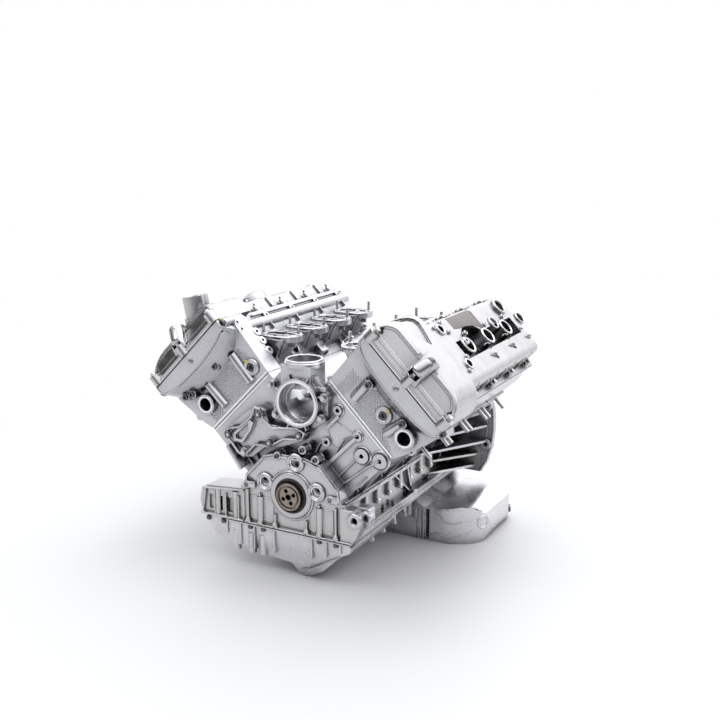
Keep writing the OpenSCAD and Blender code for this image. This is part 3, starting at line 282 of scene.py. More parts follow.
@dataclass(frozen=True)
class Plane:
    """A drawing plane whose origin and drawn lengths are in millimetres."""

    origin: Vector
    across: Vector
    up: Vector
    out: Vector

    def point(self, a: float, b: float, w: float) -> Vector:
        """A drawn point in metres: a across, b up, and w out of the plane."""
        return (self.origin + self.across * a + self.up * b + self.out * w) * MM

    @classmethod
    def front(cls, y: float) -> "Plane":
        """The front view of the whole engine at a distance y behind the hub."""
        return cls(BACK * y, ACROSS, UP, -BACK)

    @classmethod
    def level(cls, z: float) -> "Plane":
        """The view from above at height z."""
        return cls(UP * z, ACROSS, BACK, UP)

    @classmethod
    def flank(cls, sign: int, x: float) -> "Plane":
        """A side view: y runs across, z up, and out is away from the crank."""
        return cls(ACROSS * (sign * x), BACK, UP, ACROSS * sign)


@dataclass(frozen=True)
class DomeFront(Plane):
    """The sloping front of a valve cover: drawn points follow the slope."""

    def point(self, a: float, b: float, w: float) -> Vector:
        """A drawn point in metres, moved back by the slope at its height."""
        rise = max(b - COVER_LOW - DOME_LEDGE, 0.0)
        return super().point(a, b, w - rise * DOME_SLOPE / (DOME_H + 1 - COVER_LOW - DOME_LEDGE))


def arc(centre: Pair, radius: float, start: float, end: float, steps: int = 8) -> list[Pair]:
    """Points on an arc from start to end, in degrees."""
    return [(centre[0] + radius * math.cos(math.radians(start + (end - start) * i / steps)),
             centre[1] + radius * math.sin(math.radians(start + (end - start) * i / steps)))
            for i in range(steps + 1)]


def disc(centre: Pair, radius: float, steps: int = 28) -> list[Pair]:
    """Points round a full circle."""
    return arc(centre, radius, 0, 360 - 360 / steps, steps - 1)


def inset(outline: Sequence[Pair], depth: float) -> list[Pair]:
    """An outline moved inwards by depth, point for point.

    Args:
        outline: corners in order, counter-clockwise.
        depth: distance inwards; a negative one moves outwards.

    Returns:
        As many corners as the outline has.
    """
    count = len(outline)
    area = sum(outline[i][0] * outline[(i + 1) % count][1] - outline[(i + 1) % count][0] * outline[i][1]
               for i in range(count))
    sign = 1.0 if area > 0 else -1.0
    moved = []
    for i in range(count):
        p, q, r = outline[i - 1], outline[i], outline[(i + 1) % count]
        d0 = Vector((q[0] - p[0], q[1] - p[1])).normalized()
        d1 = Vector((r[0] - q[0], r[1] - q[1])).normalized()
        n0, n1 = Vector((-d0.y, d0.x)) * sign, Vector((-d1.y, d1.x)) * sign
        half = n0 + n1
        scale = depth * 2.0 / max(half.length_squared, 0.5)
        moved.append((q[0] + half.x * scale, q[1] + half.y * scale))
    return moved


def rounded_box(x0: float, y0: float, x1: float, y1: float, r: float) -> list[Pair]:
    """A rectangle with round corners."""
    return (arc((x1 - r, y1 - r), r, 0, 90, 4) + arc((x0 + r, y1 - r), r, 90, 180, 4)
            + arc((x0 + r, y0 + r), r, 180, 270, 4) + arc((x1 - r, y0 + r), r, 270, 360, 4))


class Piece:
    """One piece of the visual model, collected from several closed meshes."""

    def __init__(self, name: str, finish: Finish, body: str = "engine", slot: str = "") -> None:
        """Starts an empty piece.

        Args:
            name: the piece's plain name.
            finish: what its surface looks like.
            body: the CAD body it rides on.
            slot: the record's material slot, where it isn't the finish's own; it is stored on the piece but not
                used.
        """
        self.name, self.finish, self.body, self.slot = name, finish, body, slot or finish.slot
        self.mesh = bmesh.new()

    def _skin(self, rings: Sequence[Sequence[Vector]], capped: bool = True) -> "Piece":
        """Joins rings of points, one after another, and adds the closed mesh to the piece.

        Args:
            rings: points in metres, as many in every ring.
            capped: whether both ends get a face; if not, the last ring joins the first.

        Returns:
            The piece itself.
        """
        part = bmesh.new()
        rows = [[part.verts.new(point) for point in ring] for ring in rings]
        if not capped:
            rows.append(rows[0])
        for low, high in zip(rows, rows[1:]):
            for i in range(len(low)):
                j = (i + 1) % len(low)
                part.faces.new((low[i], low[j], high[j], high[i]))
        if capped:
            part.faces.new(rows[0][::-1])
            part.faces.new(rows[-1])
        bmesh.ops.recalc_face_normals(part, faces=part.faces)
        data = bpy.data.meshes.new("part")
        part.to_mesh(data)
        part.free()
        self.mesh.from_mesh(data)
        bpy.data.meshes.remove(data)
        return self

    def loft(self, plane: Plane, sections: Sequence[tuple[Sequence[Pair], float]]) -> "Piece":
        """Joins outlines with the same number of corners, each at its distance out of the plane."""
        return self._skin([[plane.point(a, b, w) for a, b in outline] for outline, w in sections])

    def block(self, plane: Plane, outline: Sequence[Pair], low: float, high: float, soft: float = 1.0) -> "Piece":
        """A raised shape with straight sides and a rounded top edge."""
        soft = min(soft, abs(high - low) * 0.6)
        if soft <= 0:
            return self.loft(plane, [(outline, low), (outline, high)])
        return self.loft(plane, [(outline, low), (outline, high - soft),
                                 (inset(outline, soft * 0.3), high - soft * 0.3), (inset(outline, soft), high)])

    def rim(self, plane: Plane, outline: Sequence[Pair], width: float, low: float, high: float,
            soft: float = 1.0) -> "Piece":
        """A closed raised band that runs inside an outline."""
        lines = [(0.0, low), (0.0, high - soft), (soft, high), (width - soft, high), (width, high - soft),
                 (width, low)]
        return self._skin([[plane.point(a, b, w) for a, b in inset(outline, d)] for d, w in lines], capped=False)

    def band(self, plane: Plane, line: Sequence[Pair], width: float, low: float, high: float,
             draft: float = 0.6) -> "Piece":
        """A rib or strip along an open line, narrower at the top by its draft."""
        half = width / 2
        rings = []
        for i, corner in enumerate(line):
            before, after = line[max(i - 1, 0)], line[min(i + 1, len(line) - 1)]
            run = Vector((after[0] - before[0], after[1] - before[1])).normalized()
            p, n = Vector(corner), Vector((-run.y, run.x))
            ring = [(p + n * half, low), (p + n * (half - draft), high), (p - n * (half - draft), high),
                    (p - n * half, low)]
            rings.append([plane.point(q.x, q.y, w) for q, w in ring])
        return self._skin(rings)

    def turned(self, plane: Plane, centre: Pair, profile: Sequence[Pair], steps: int = 28) -> "Piece":
        """A turned shape: profile points are (radius, height out of the plane); the ends are closed."""
        return self.loft(plane, [(disc(centre, max(r, 0.01), steps), w) for r, w in profile])

    def boss(self, plane: Plane, centre: Pair, radius: float, low: float, high: float,
             bore: float = 0.0) -> "Piece":
        """A round cast boss with a soft edge, and a drilled hole if bore is given."""
        profile = [(radius + 1.2, low), (radius, low + 1.5), (radius, high - 1.0), (radius - 1.0, high)]
        if bore > 0:
            profile += [(bore + 0.6, high), (bore, high - 0.6), (bore, low + 0.5)]
        return self.turned(plane, centre, profile)

    def build(self) -> bpy.types.Object:
        """Writes the piece's object, dresses it and hangs it on its body.

        Returns:
            The new object.
        """
        data = bpy.data.meshes.new(self.name)
        self.mesh.to_mesh(data)
        self.mesh.free()
        data.polygons.foreach_set("use_smooth", [True] * len(data.polygons))
        data.set_sharp_from_angle(angle=math.radians(SMOOTH_ANGLE))
        obj = bpy.data.objects.new(self.name, data)
        bpy.context.scene.collection.objects.link(obj)
        self.finish.dress(obj)
        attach(obj, self.body)
        LOG.info("piece %s: %d faces", self.name, len(data.polygons))
        return obj


@dataclass
class SubAssembly:
    """Pieces that are drawn and built together."""

    pieces: list[Piece] = field(init=False, default_factory=list)

    def piece(self, name: str, finish: Finish, body: str = "engine", slot: str = "") -> Piece:
        """Starts a piece of this sub-assembly."""
        self.pieces.append(Piece(name, finish, body, slot))
        return self.pieces[-1]

    def draw(self) -> None:
        """Draws the pieces."""

    def build(self) -> None:
        """Draws the pieces and writes each one's object."""
        self.draw()
        for piece in self.pieces:
            piece.build()


@dataclass
class BankPart(SubAssembly):
    """What belongs to one bank of cylinders."""

    side: Side

    def piece(self, name: str, finish: Finish, body: str = "engine", slot: str = "") -> Piece:
        """Starts a piece with the bank's name at the end of its own."""
        return super().piece(f"{name}_{self.side.tag}", finish, body, slot)

    @property
    def bores(self) -> list[float]:
        """The four bores' distances behind the hub."""
        return [self.side.bore_y(index) for index in CYLINDERS]

    def front(self, y: float) -> Plane:
        """This bank's front: u across and away from the valley, v up along the bores."""
        return Plane(BACK * y, self.side.outward, self.side.along, -BACK)

    def top(self, v: float) -> Plane:
        """This bank's top: u across, y up and the bores' direction out."""
        return Plane(self.side.along * v, self.side.outward, BACK, self.side.along)

    def outer(self, u: float) -> Plane:
        """This bank's outer flank: y across, v up, away from the valley out."""
        return Plane(self.side.outward * u, BACK, self.side.along, self.side.outward)

    def inner(self, u: float) -> Plane:
        """The flank that faces the valley: y across, v up."""
        return Plane(self.side.outward * u, BACK, self.side.along, -self.side.outward)

    def slope(self) -> DomeFront:
        """The sloping front of this bank's cover."""
        flat = self.front(CASE_Y)
        return DomeFront(flat.origin, flat.across, flat.up, flat.out)


@dataclass
class CarriedNodes:
    """The solids of the CAD model, each with its real finish."""

    finishes: dict[str, Finish] = field(default_factory=lambda: {
        "engine_block": CAST, "bedplate": BED, "oil_sump": SUMP_CAST, "sump_gasket": RUBBER, "oil_pickup": STEEL,
        "oil_pump": CAST, "coolant_cover": CAST, "coolant_housing": CAST, "head_gaskets": RUBBER,
        "cover_gaskets": RUBBER, "crank_front_seal": RUBBER, "crank_rear_seal": RUBBER, "crank_hub": HUB,
        "main_bearings": BEARING, "chain_guides": GUIDE, "socket_plugs": DARK_STEEL, "sump_bolts": DARK_STEEL,
        "bedplate_bolts": DARK_STEEL, "head_bolts": DARK_STEEL, "drain_plug": DARK_STEEL,
        "cover_bolts": STEEL, "front_bolts": STEEL, "port_studs": STEEL, "valley_sensors": STEEL,
    })
    weld_gap: float = 0.00001
    corner_angle: float = 32.0

    def finish_of(self, node: str) -> Finish:
        """The finish of one CAD node."""
        if node in self.finishes:
            return self.finishes[node]
        if node.startswith("cylinder_head") or (node.startswith("piston_") and node != "piston_pins"):
            return CAST
        if node.startswith("valve_cover"):
            return COVER
        if node.startswith("timing_chain"):
            return DARK_STEEL
        return STEEL

    def soften(self, obj: bpy.types.Object) -> None:
        """Shades shallow facets smooth, so that an arc drawn with few corners reads as one curve.

        Args:
            obj: a casting of the CAD model; its own vertices stay as they are.
        """
        data = obj.data
        data.polygons.foreach_set("use_smooth", [True] * len(data.polygons))
        if "custom_normal" in data.attributes:
            data.attributes.remove(data.attributes["custom_normal"])
        weld = obj.modifiers.new("weld", "WELD")
        weld.merge_threshold = self.weld_gap
        split = obj.modifiers.new("corners", "EDGE_SPLIT")
        split.use_edge_sharp = False
        split.split_angle = math.radians(self.corner_angle)
        weigh = obj.modifiers.new("normals", "WEIGHTED_NORMAL")
        weigh.keep_sharp = True

    def build(self, frame: dict) -> None:
        """Dresses every CAD node.
        """
        for name, obj in frame["nodes"].items():
            finish = self.finish_of(name)
            finish.dress(obj)
            if finish in (CAST, SUMP_CAST, COVER, BED):
                self.soften(obj)
            LOG.info("node %s: %s", name, finish.name)


@dataclass
class HeadFront(BankPart):
    """The front of a cylinder head: cross-hatched panels, screws, the milled joint and the ears on its flank."""

    check_pitch: float = 5.0
    check_rows: range = range(-60, 61)
    check_mid: float = 250.0
    plug_room: float = 18.0
    port_room: float = 24.0
    screw_room: float = 9.0
    check_height: float = 1.3
    check_foot: float = 2.9
    check_top: float = 1.5
    corners: tuple[Pair, ...] = ((1, 0), (0, 1), (-1, 0), (0, -1))
    bulge_depth: float = 34.0
    panels: dict[Side, list[list[Pair]]] = field(default_factory=lambda: {
        Side.RIGHT: [[(-47, 211), (-44, 268), (-28, 281), (6, 285), (21, 279), (22, 226), (49, 222), (60, 212)],
                     [(-98, 214), (-98, 262), (-72, 262), (-72, 214)]],
        Side.LEFT: [[(-60, 212), (-60, 268), (-40, 280), (2, 280), (2, 212)],
                    [(27, 212), (28, 236), (58, 236), (58, 212)],
                    [(-100, 226), (-100, 268), (-86, 288), (-82, 262), (-82, 226)]],
    })
    plug: dict[Side, Pair] = field(default_factory=lambda: {Side.RIGHT: (4, 252), Side.LEFT: (-91, 237)})
    port: dict[Side, Pair] = field(default_factory=lambda: {Side.RIGHT: (60, 258), Side.LEFT: (45, 251)})
    screws: dict[Side, list[Pair]] = field(default_factory=lambda: {
        Side.RIGHT: [(-53, 275), (39, 278), (100, 334)],
        Side.LEFT: [(-35, 287), (51, 283), (68, 289), (97, 327), (-119, 330)],
    })

    def clear(self, spot: Pair, outline: Sequence[Pair]) -> bool:
        """Whether a check fits inside a panel and beside the plug."""
        count, inside = len(outline), False
        for i in range(count):
            (x0, y0), (x1, y1) = outline[i], outline[i - 1]
            if (y0 > spot[1]) != (y1 > spot[1]) and spot[0] < (x1 - x0) * (spot[1] - y0) / (y1 - y0) + x0:
                inside = not inside
        centre, mouth = self.plug[self.side], self.port[self.side]
        return (inside and math.dist(spot, centre) > self.plug_room and math.dist(spot, mouth) > self.port_room
                and all(math.dist(spot, screw) > self.screw_room for screw in self.screws[self.side]))

    def checks(self) -> None:
        """The cross-hatched panels, as small raised pads in rows along the engine's own axes."""
        piece = self.piece("head_checks", CAST)
        plane = self.front(FRONT_Y)
        for outline in self.panels[self.side]:
            for i in self.check_rows:
                for j in self.check_rows:
                    a, b = i * self.check_pitch, j * self.check_pitch
                    u, v = (a - b) * SLANT, self.check_mid + (a + b) * SLANT
                    if not self.clear((u, v), outline):
                        continue
                    rings = ((self.check_foot, -0.2), (self.check_top, self.check_height))
                    piece.loft(plane, [([(u + r * c, v + r * s) for c, s in self.corners], w) for r, w in rings])

    def fittings(self) -> None:
        """The collar of the plug, the milled rim of the coolant port, and screws in their bosses."""
        plane = self.front(FRONT_Y)
        collar = self.piece("plug_collar", CAST)
        collar.rim(plane, disc(self.plug[self.side], 17), 6.5, -0.5, 4.5, 1.6)
        mouth = self.port[self.side]
        collar.rim(self.front(FRONT_Y - 10), disc(mouth, 20.5), 3.5, -8, 0.4, 1)
        milled = self.piece("port_face", MILLED)
        milled.rim(self.front(FRONT_Y - 10), disc(mouth, 17.6), 4.2, -0.5, 0.7, 0.5)
        milled.rim(plane, disc(self.plug[self.side], 11.4), 2.2, -0.5, 5.2, 0.6)
        bosses = self.piece("head_front_bosses", CAST)
        heads = self.piece("head_front_screws", DARK_STEEL)
        for u, v in self.screws[self.side]:
            depth = 16 if v < 300 else 26.0
            bosses.boss(plane, (u, v), 8.5, -1, depth)
            heads.turned(plane, (u, v), [(6.2, depth - 1), (6.2, depth + 3.2), (5.6, depth + 4), (3.2, depth + 4),
                                         (2.9, depth + 1)], 20)

    def edges(self) -> None:
        """The milled strip along the head joint and the raised line round the lower edge of the bulge."""
        plane = self.front(FRONT_Y)
        milled = self.piece("head_joint_strip", MILLED)
        milled.band(plane, [(-112, 209.2), (70, 209.2)], 5.2, -0.5, 1.2, 0.5)
        below = self.piece("deck_strip", MILLED)
        below.band(plane, [(-108, 202.4), (70, 202.4)], 4.2, -0.5, 0.9, 0.5)
        lip = self.piece("bulge_lip", CAST)
        front = self.front(CASE_Y)
        low = self.bulge_depth
        line = [(CAM_MID + 106 * math.cos(math.radians(a)), 340 - low * 0.35
                 + low * 0.65 * math.sin(math.radians(a)) * 1.02) for a in range(200, 341, 7)]
        lip.band(front, [(-117, 338), (-116, 328), *line, (96, 328), (96.2, 338)], 3.4, -2.5, 1.4, 1.1)

    def flank(self) -> None:
        """The drilled ears and the two holes on the milled flank that faces the valley; the holes' depths are
        dark discs of painted shade.
        """
        flat = self.front(0)
        up = (flat.up * 120 - flat.across * 9).normalized()
        out = (flat.across * -120 - flat.up * 9).normalized()
        plane = Plane(flat.across * -113 + flat.up * 206, BACK, up, out)
        ears = self.piece("head_ears", MILLED)
        # dark discs inside the ear and flank holes: painted shade
        holes = self.piece("head_ear_hole_shade", SHADOW)
        for t in (42, 65, 86):
            ears.turned(plane, (86, t), [(10.2, -9), (9, -7), (9, 1), (8.2, 1.8), (3.8, 1.8), (3.6, -4)])
            holes.turned(plane, (86, t), [(3.7, -3.8), (3.6, -3.4)], 18)
        for t in (100, 116):
            ears.rim(plane, disc((50, t), 6.4), 2.6, -1, 1, 0.4)
            holes.turned(plane, (50, t), [(4, -0.2), (3.9, 0.3)], 18)

    def draw(self) -> None:
        """Draws every piece of this head front."""
        self.checks()
        self.fittings()
        self.edges()
        self.flank()


@dataclass
class CoverTrim(BankPart):
    """What stands on a valve cover: its front rim, screw washers, rings, ribs and the row of pads."""

    rim_width: float = 6.5
    rim_height: float = 2.6
    boss_end: float = 510.0
    rib_end: float = 480.0

    def rims(self) -> None:
        """The raised rounded edge of the sloping front."""
        plane = self.slope()
        piece = self.piece("cover_rim", COVER)
        right = arc((51, 346), 42.5, 4, 90, 14) + [(16, 388.5)]
        left = [(-32, 388.5)] + arc((-84, 358), 30.5, 90, 164, 10)
        for line in (right, left):
            piece.band(plane, line, self.rim_width, -1, self.rim_height, 2)
        ledge = self.piece("cover_ledge", COVER)
        flat = self.front(CASE_Y)
        for a, b in ((-100, -24), (8, 78)):
            ledge.band(self.slope(), [(a, 357.5), (b, 357.5)], 2.6, -1, 1.7, 0.8)
        bright = self.piece("cover_edge", MILLED, slot="cover_aluminium")
        bright.band(flat, [(-116.5, 343.2), (95.5, 343.2)], 2.6, -0.5, 0.9, 0.5)

    def washers(self) -> None:
        """Collars under the cover screws along both flanges."""
        piece = self.piece("cover_washers", STEEL)
        top = self.top(COVER_LOW + 14)
        for y in self.bores:
            for u in (-89, 72):
                piece.turned(top, (u, y + PITCH / 2), [(7.6, -0.3), (7.6, 1.2), (6.6, 1.7)], 24)

    def rings(self) -> None:
        """Milled rims on the wells and sensor holes, and small screw bosses beside them."""
        milled = self.piece("well_rims", MILLED, slot="cover_aluminium")
        shift = self.side.shift
        top = self.top(BODY_H)
        for y in self.bores[1:]:
            milled.rim(top, disc((CAM_MID, y), 17.4), 2.8, 3.5, 5.2, 0.5)
        for u in (-58, 24):
            milled.rim(top, disc((u, 165 + shift), 11.2), 2.6, 2.6, 4, 0.5)
        cast = self.piece("cover_bosses", COVER)
        for u, y in ((-71, 181), (-47, 186), (-66, 148), (10, 178), (36, 150)):
            cast.boss(top, (u, y + shift), 4.6, -1, 4, 2.2)
        for y in self.bores[1:]:
            cast.boss(top, (CAM_MID - 24, y + 24), 5, -1, 5, 2.4)
        for u, y in ((-27, 378), (-13, 506)):
            if y + shift < self.boss_end:
                cast.rim(top, disc((u, y + shift), 14.5), 3.4, -22, 3.6, 1)
                milled.rim(top, disc((u, y + shift), 13.6), 1.8, 3, 4.2, 0.4)
        cast.turned(top, (-16, 208 + shift),
                    [(9.6, -22), (8.2, -18), (7.8, 8), (7, 9.2), (3.4, 9.2), (3.2, 3)])
        cast.rim(top, disc((-54, 452 + shift), 19), 6, -1, 7, 1.6)
        # a dark disc on the port's floor: painted shade
        hole = self.piece("cover_port_shade", SHADOW)
        hole.turned(top, (-54, 452 + shift), [(13.4, 0.1), (13.2, 0.5)], 28)

    def tube(self) -> None:
        """The rounded tube over the middle screw, which runs up the sloping front."""
        slope = math.atan2(DOME_SLOPE, DOME_H - 7 - COVER_LOW)
        flat = self.front(0)
        base = flat.across * CAM_MID + flat.up * (COVER_LOW + 16) + Vector((0, CASE_Y + 3, 0))
        axis = flat.up * math.cos(slope) + Vector((0, math.sin(slope), 0))
        plane = Plane(base, flat.across, flat.across.cross(axis), axis)
        piece = self.piece("screw_tube", COVER)
        piece.turned(plane, (0, 0), [(7, 10.5), (13, 11.5), (15.8, 14), (16.8, 18), (16.8, 38), (16.2, 43),
                                     (12.5, 48), (5, 50.5)], 40)

    def gasket(self) -> None:
        """The black bead of the gasket that shows between cover and head."""
        piece = self.piece("gasket_bead", RUBBER)
        piece.band(self.front(CASE_Y), [(-117, 340.2), (96.4, 340.2)], 2.3, -1, 0.9, 0.5)
        start = DOME_BACK_Y + 4
        piece.band(self.outer(80), [(start, 340.2), (500, 340.2)], 2, -2, 0.8, 0.5)

    def recess(self) -> None:
        """The recess on the cover's top: a dark, less metallic plate whose colour paints the shade in the pocket.
        """
        shift = self.side.shift
        top = self.top(BODY_H)
        edge = [(-75, 216), (-50, 216), (-46, 240), (-45.5, 268), (-40, 300), (-30, 322),
                (-24, 326), (-75, 326)]
        self.piece("recess_shade_plate", SHADED_RECESS).block(top, [(u, y + shift) for u, y in edge], -3, -0.9, 0.4)

    def ribs(self) -> None:
        """Cast ribs across the outer shoulder, upright ribs on its flank, and the inner edge's pads."""
        cast = self.piece("cover_ribs", COVER)
        shift = self.side.shift
        top = self.top(BODY_H)
        for u, first in ((12, 285), (36, 283)):
            for k in range(3):
                y = first + k * PITCH + shift
                if y > self.rib_end + shift:
                    continue
                cast.band(top, [(u - 6.5, y - 13), (u - 8, y - 4), (u - 7, y + 5), (u - 3.5, y + 12)],
                          3, -1, 3.2, 1)
        inner = self.inner(-82)
        for y in self.bores:
            cast.block(inner, rounded_box(y + 14, 352, y + 34, 380, 3), -1, 4.5, 1.5)
            cast.block(inner, rounded_box(y + 62, 350, y + 74, 374, 3), -1, 3.5, 1.5)
        outer = self.outer(65)
        for y in self.bores:
            for dy in (4, 22):
                cast.band(outer, [(y + dy, 350), (y + dy, 372)], 4, -1, 3.4, 1)

    def draw(self) -> None:
        """Draws every piece of this cover."""
        self.rims()
        self.tube()
        self.gasket()
        self.recess()
        self.washers()
        self.rings()
        self.ribs()


@dataclass
class FrontWall(SubAssembly):
    """The front of the crankcase: raised rims round the socket plugs, ribs, panels and seams."""

    plugs: list[Pair] = field(default_factory=lambda: [(-58, 18), (11, 67), (56, 16)])
    small: list[Pair] = field(default_factory=lambda: [(-100, 6), (86, 7), (26, 94), (54, 79), (-30, 74)])

    def bosses(self) -> None:
        """Stepped rims of the three large plugs and bosses of the small screws on the chest."""
        chest = Plane.front(12)
        cast = self.piece("chest_bosses", CAST)
        milled = self.piece("plug_seats", MILLED)
        for x, z in self.plugs:
            cast.rim(chest, disc((x, z), 18.5), 6.5, -14, 5.5, 2)
            milled.rim(chest, disc((x, z), 12.6), 3, -2, 3.2, 0.5)
        dark = self.piece("chest_screws", DARK_STEEL)
        for x, z in self.small:
            cast.boss(chest, (x, z), 8.5, -16, 3.5)
            dark.turned(chest, (x, z), [(4.6, 3), (4.6, 6.2), (4, 7), (2.4, 7), (2.2, 4.5)], 20)
        cast.rim(chest, disc((0, 0), 50), 5, -4, 3.2, 1.6)

    def ribs(self) -> None:
        """Cast ribs that run from the hub's chest to the banks, and the sharp rib on the right wall."""
        wall = Plane.front(FRONT_Y)
        cast = self.piece("wall_ribs", CAST)
        lines = [
            ([(-98, 34), (-126, 66), (-150, 84)], 5.5, 7), ([(-86, 44), (-112, 92), (-118, 112)], 4.5, 6),
            ([(84, 40), (120, 78), (132, 92)], 5, 6), ([(64, 60), (100, 118), (128, 130)], 4.5, 5),
            ([(98, 32), (150, 74), (174, 90)], 5.5, 7), ([(40, 84), (50, 104), (62, 112)], 5, 6.5),
            ([(-40, 84), (-60, 112), (-66, 134)], 5, 6), ([(124, 30), (146, 52)], 4, 5),
        ]
        for line, width, height in lines:
            cast.band(wall, line, width, -1, height, 1.6)
        cast.rim(wall, [(66, 152), (74, 156), (116, 134), (122, 126), (84, 96), (72, 104), (62, 134)],
                 2.4, -1, 1.3, 0.6)
        for x, z, r in ((137, 92, 19), (174, 88, 20), (87, 172, 13), (128, 128, 12), (-142, 74, 12),
                        (-126, 40, 9)):
            cast.rim(wall, disc((x, z), r), 4, -1, 2.6, 1.4)
        screws = self.piece("wall_screws", DARK_STEEL)
        for x, z in ((-142, 74), (-126, 40)):
            screws.turned(wall, (x, z), [(5.6, 0.2), (5.6, 4.6), (4.8, 5.4), (2.8, 5.4), (2.6, 2.5)], 20)

    def chest(self) -> None:
        """The seam round the chest's outline and its lower corner blocks."""
        plane = Plane.front(12)
        cast = self.piece("chest_rim", CAST)
        line = [(-104, 4), (-100, 24), (-62, 64), (-30, 73), (30, 73), (62, 64), (100, 24), (104, 4)]
        cast.band(plane, line, 6, -4, 3.4, 1.8)
        for x0, x1 in ((-104, -80), (78, 104)):
            cast.block(plane, rounded_box(x0, 1, x1, 14, 3), -2, 6, 1.6)

    def draw(self) -> None:
        """Draws the front wall's pieces."""
        self.bosses()
        self.ribs()
        self.chest()


@dataclass
class CoolantTrim(SubAssembly):
    """Rims, ears and flanges of the coolant castings on the front."""

    centre: Pair = (12.0, 181.0)

    def draw(self) -> None:
        """Draws the trim of the housing and of the cover plate."""
        face = Plane.front(14)
        self.piece("coolant_mouth", MILLED).rim(face, disc(self.centre, 43.2, 40), 4.6, -1, 0.9, 0.5)
        cast = self.piece("coolant_ribs", CAST)
        for a in range(20, 380, 45):
            c, s = math.cos(math.radians(a)), math.sin(math.radians(a))
            cast.band(Plane.front(20), [(self.centre[0] + 44 * c, self.centre[1] + 44 * s),
                                          (self.centre[0] + 54 * c, self.centre[1] + 54 * s)], 5, -6, 3, 1.2)
        ring = Plane.level(258)
        cast.rim(ring, disc((6, 54), 37.5, 36), 5, -12, -3, 1.2)
        self.piece("coolant_top_rim", MILLED).rim(ring, disc((6, 54), 35.6, 36), 4.2, -2, 0.6, 0.4)
        plate = self.piece("cover_plate_rim", CAST)
        plane = Plane.front(19)
        line = [(-158, 98), (-146, 112), (-122, 118), (-96, 140), (-86, 162), (-72, 160), (-64, 140), (-44, 126),
                (10, 134), (28, 124), (20, 108), (-20, 104), (-52, 84), (-84, 84), (-112, 56), (-126, 62)]
        plate.rim(plane, line, 4.5, -2, 2.2, 1.2)
        plate.band(plane, [(-150, 74), (-118, 32)], 18, -10, 5, 6.5)
        holes = self.piece("cover_plate_screws", DARK_STEEL)
        for x, z in ((-147, 97), (-76, 147), (14, 118), (-52, 94)):
            holes.turned(plane, (x, z), [(7.2, 1), (7.2, 4.5), (6.2, 5.4), (3.2, 5.4), (3, 2.5)], 20)


@dataclass
class BedplateFront(SubAssembly):
    """Ribs, bosses and the double flange along the front of the bedplate and of the sump."""

    def draw(self) -> None:
        """Draws the pieces of the lower front."""
        face = Plane.front(12)
        bed = self.piece("bedplate_front_ribs", BED)
        for x, top in ((-98, -4), (-70, -8), (-36, -44), (34, -44), (62, -8), (98, -8)):
            bed.band(face, [(x, -70), (x, top)], 7, -2, 5, 2)
            bed.boss(face, (x, -66), 5.5, -2, 7)
        for x0, x1 in ((-94, -74), (-66, -40), (38, 58), (68, 92)):
            bed.rim(face, rounded_box(x0, -62, x1, -14, 4), 2.2, -1, 1.6, 0.8)
        bed.band(face, [(-106, -70.5), (132, -70.5)], 5, -2, 7, 1.4)
        bed.rim(face, disc((0, 0), 45, 36), 4, -3, 4.4, 1.2)
        box = Plane.front(10)
        for x in (-206, -176, -150, -120):
            bed.band(box, [(x, -68), (x + (8 if x < -180 else 0), -22)], 6, -2, 4.6, 1.8)
        bed.band(box, [(-210, -69.5), (-108, -69.5)], 6, -2, 6.5, 1.4)
        bed.band(box, [(-200, -17), (-108, -8)], 5, -2, 4.2, 1.4)
        lug = self.piece("bracket_lugs", CAST)
        lug.rim(Plane.front(8), disc((138, -24), 15), 9, -18, 4, 1.8)
        lug.block(Plane.front(30), rounded_box(128, -44, 158, -4, 7), -20, 2, 2)
        lug.rim(Plane.front(26), disc((152, -22), 12), 6.5, -14, 4, 1.6)
        face = Plane.front(14)
        sump = self.piece("sump_front_ribs", SUMP_CAST)
        sump.band(face, [(-150, -76.5), (126, -76.5)], 5, -2, 6, 1.4)
        for x, low in ((-150, -104), (-118, -122), (-86, -126), (-40, -124), (44, -118), (76, -108), (106, -96)):
            sump.band(face, [(x, -78), (x, low)], 8, -4, 5.5, 3)
        screws = self.piece("lower_front_screws", DARK_STEEL)
        for x in (-196, -160, -96, -66, 60, 96):
            screws.turned(Plane.level(-84), (x, 12), [(5.2, 6), (5.2, 0), (4.4, -1.2)], 18)


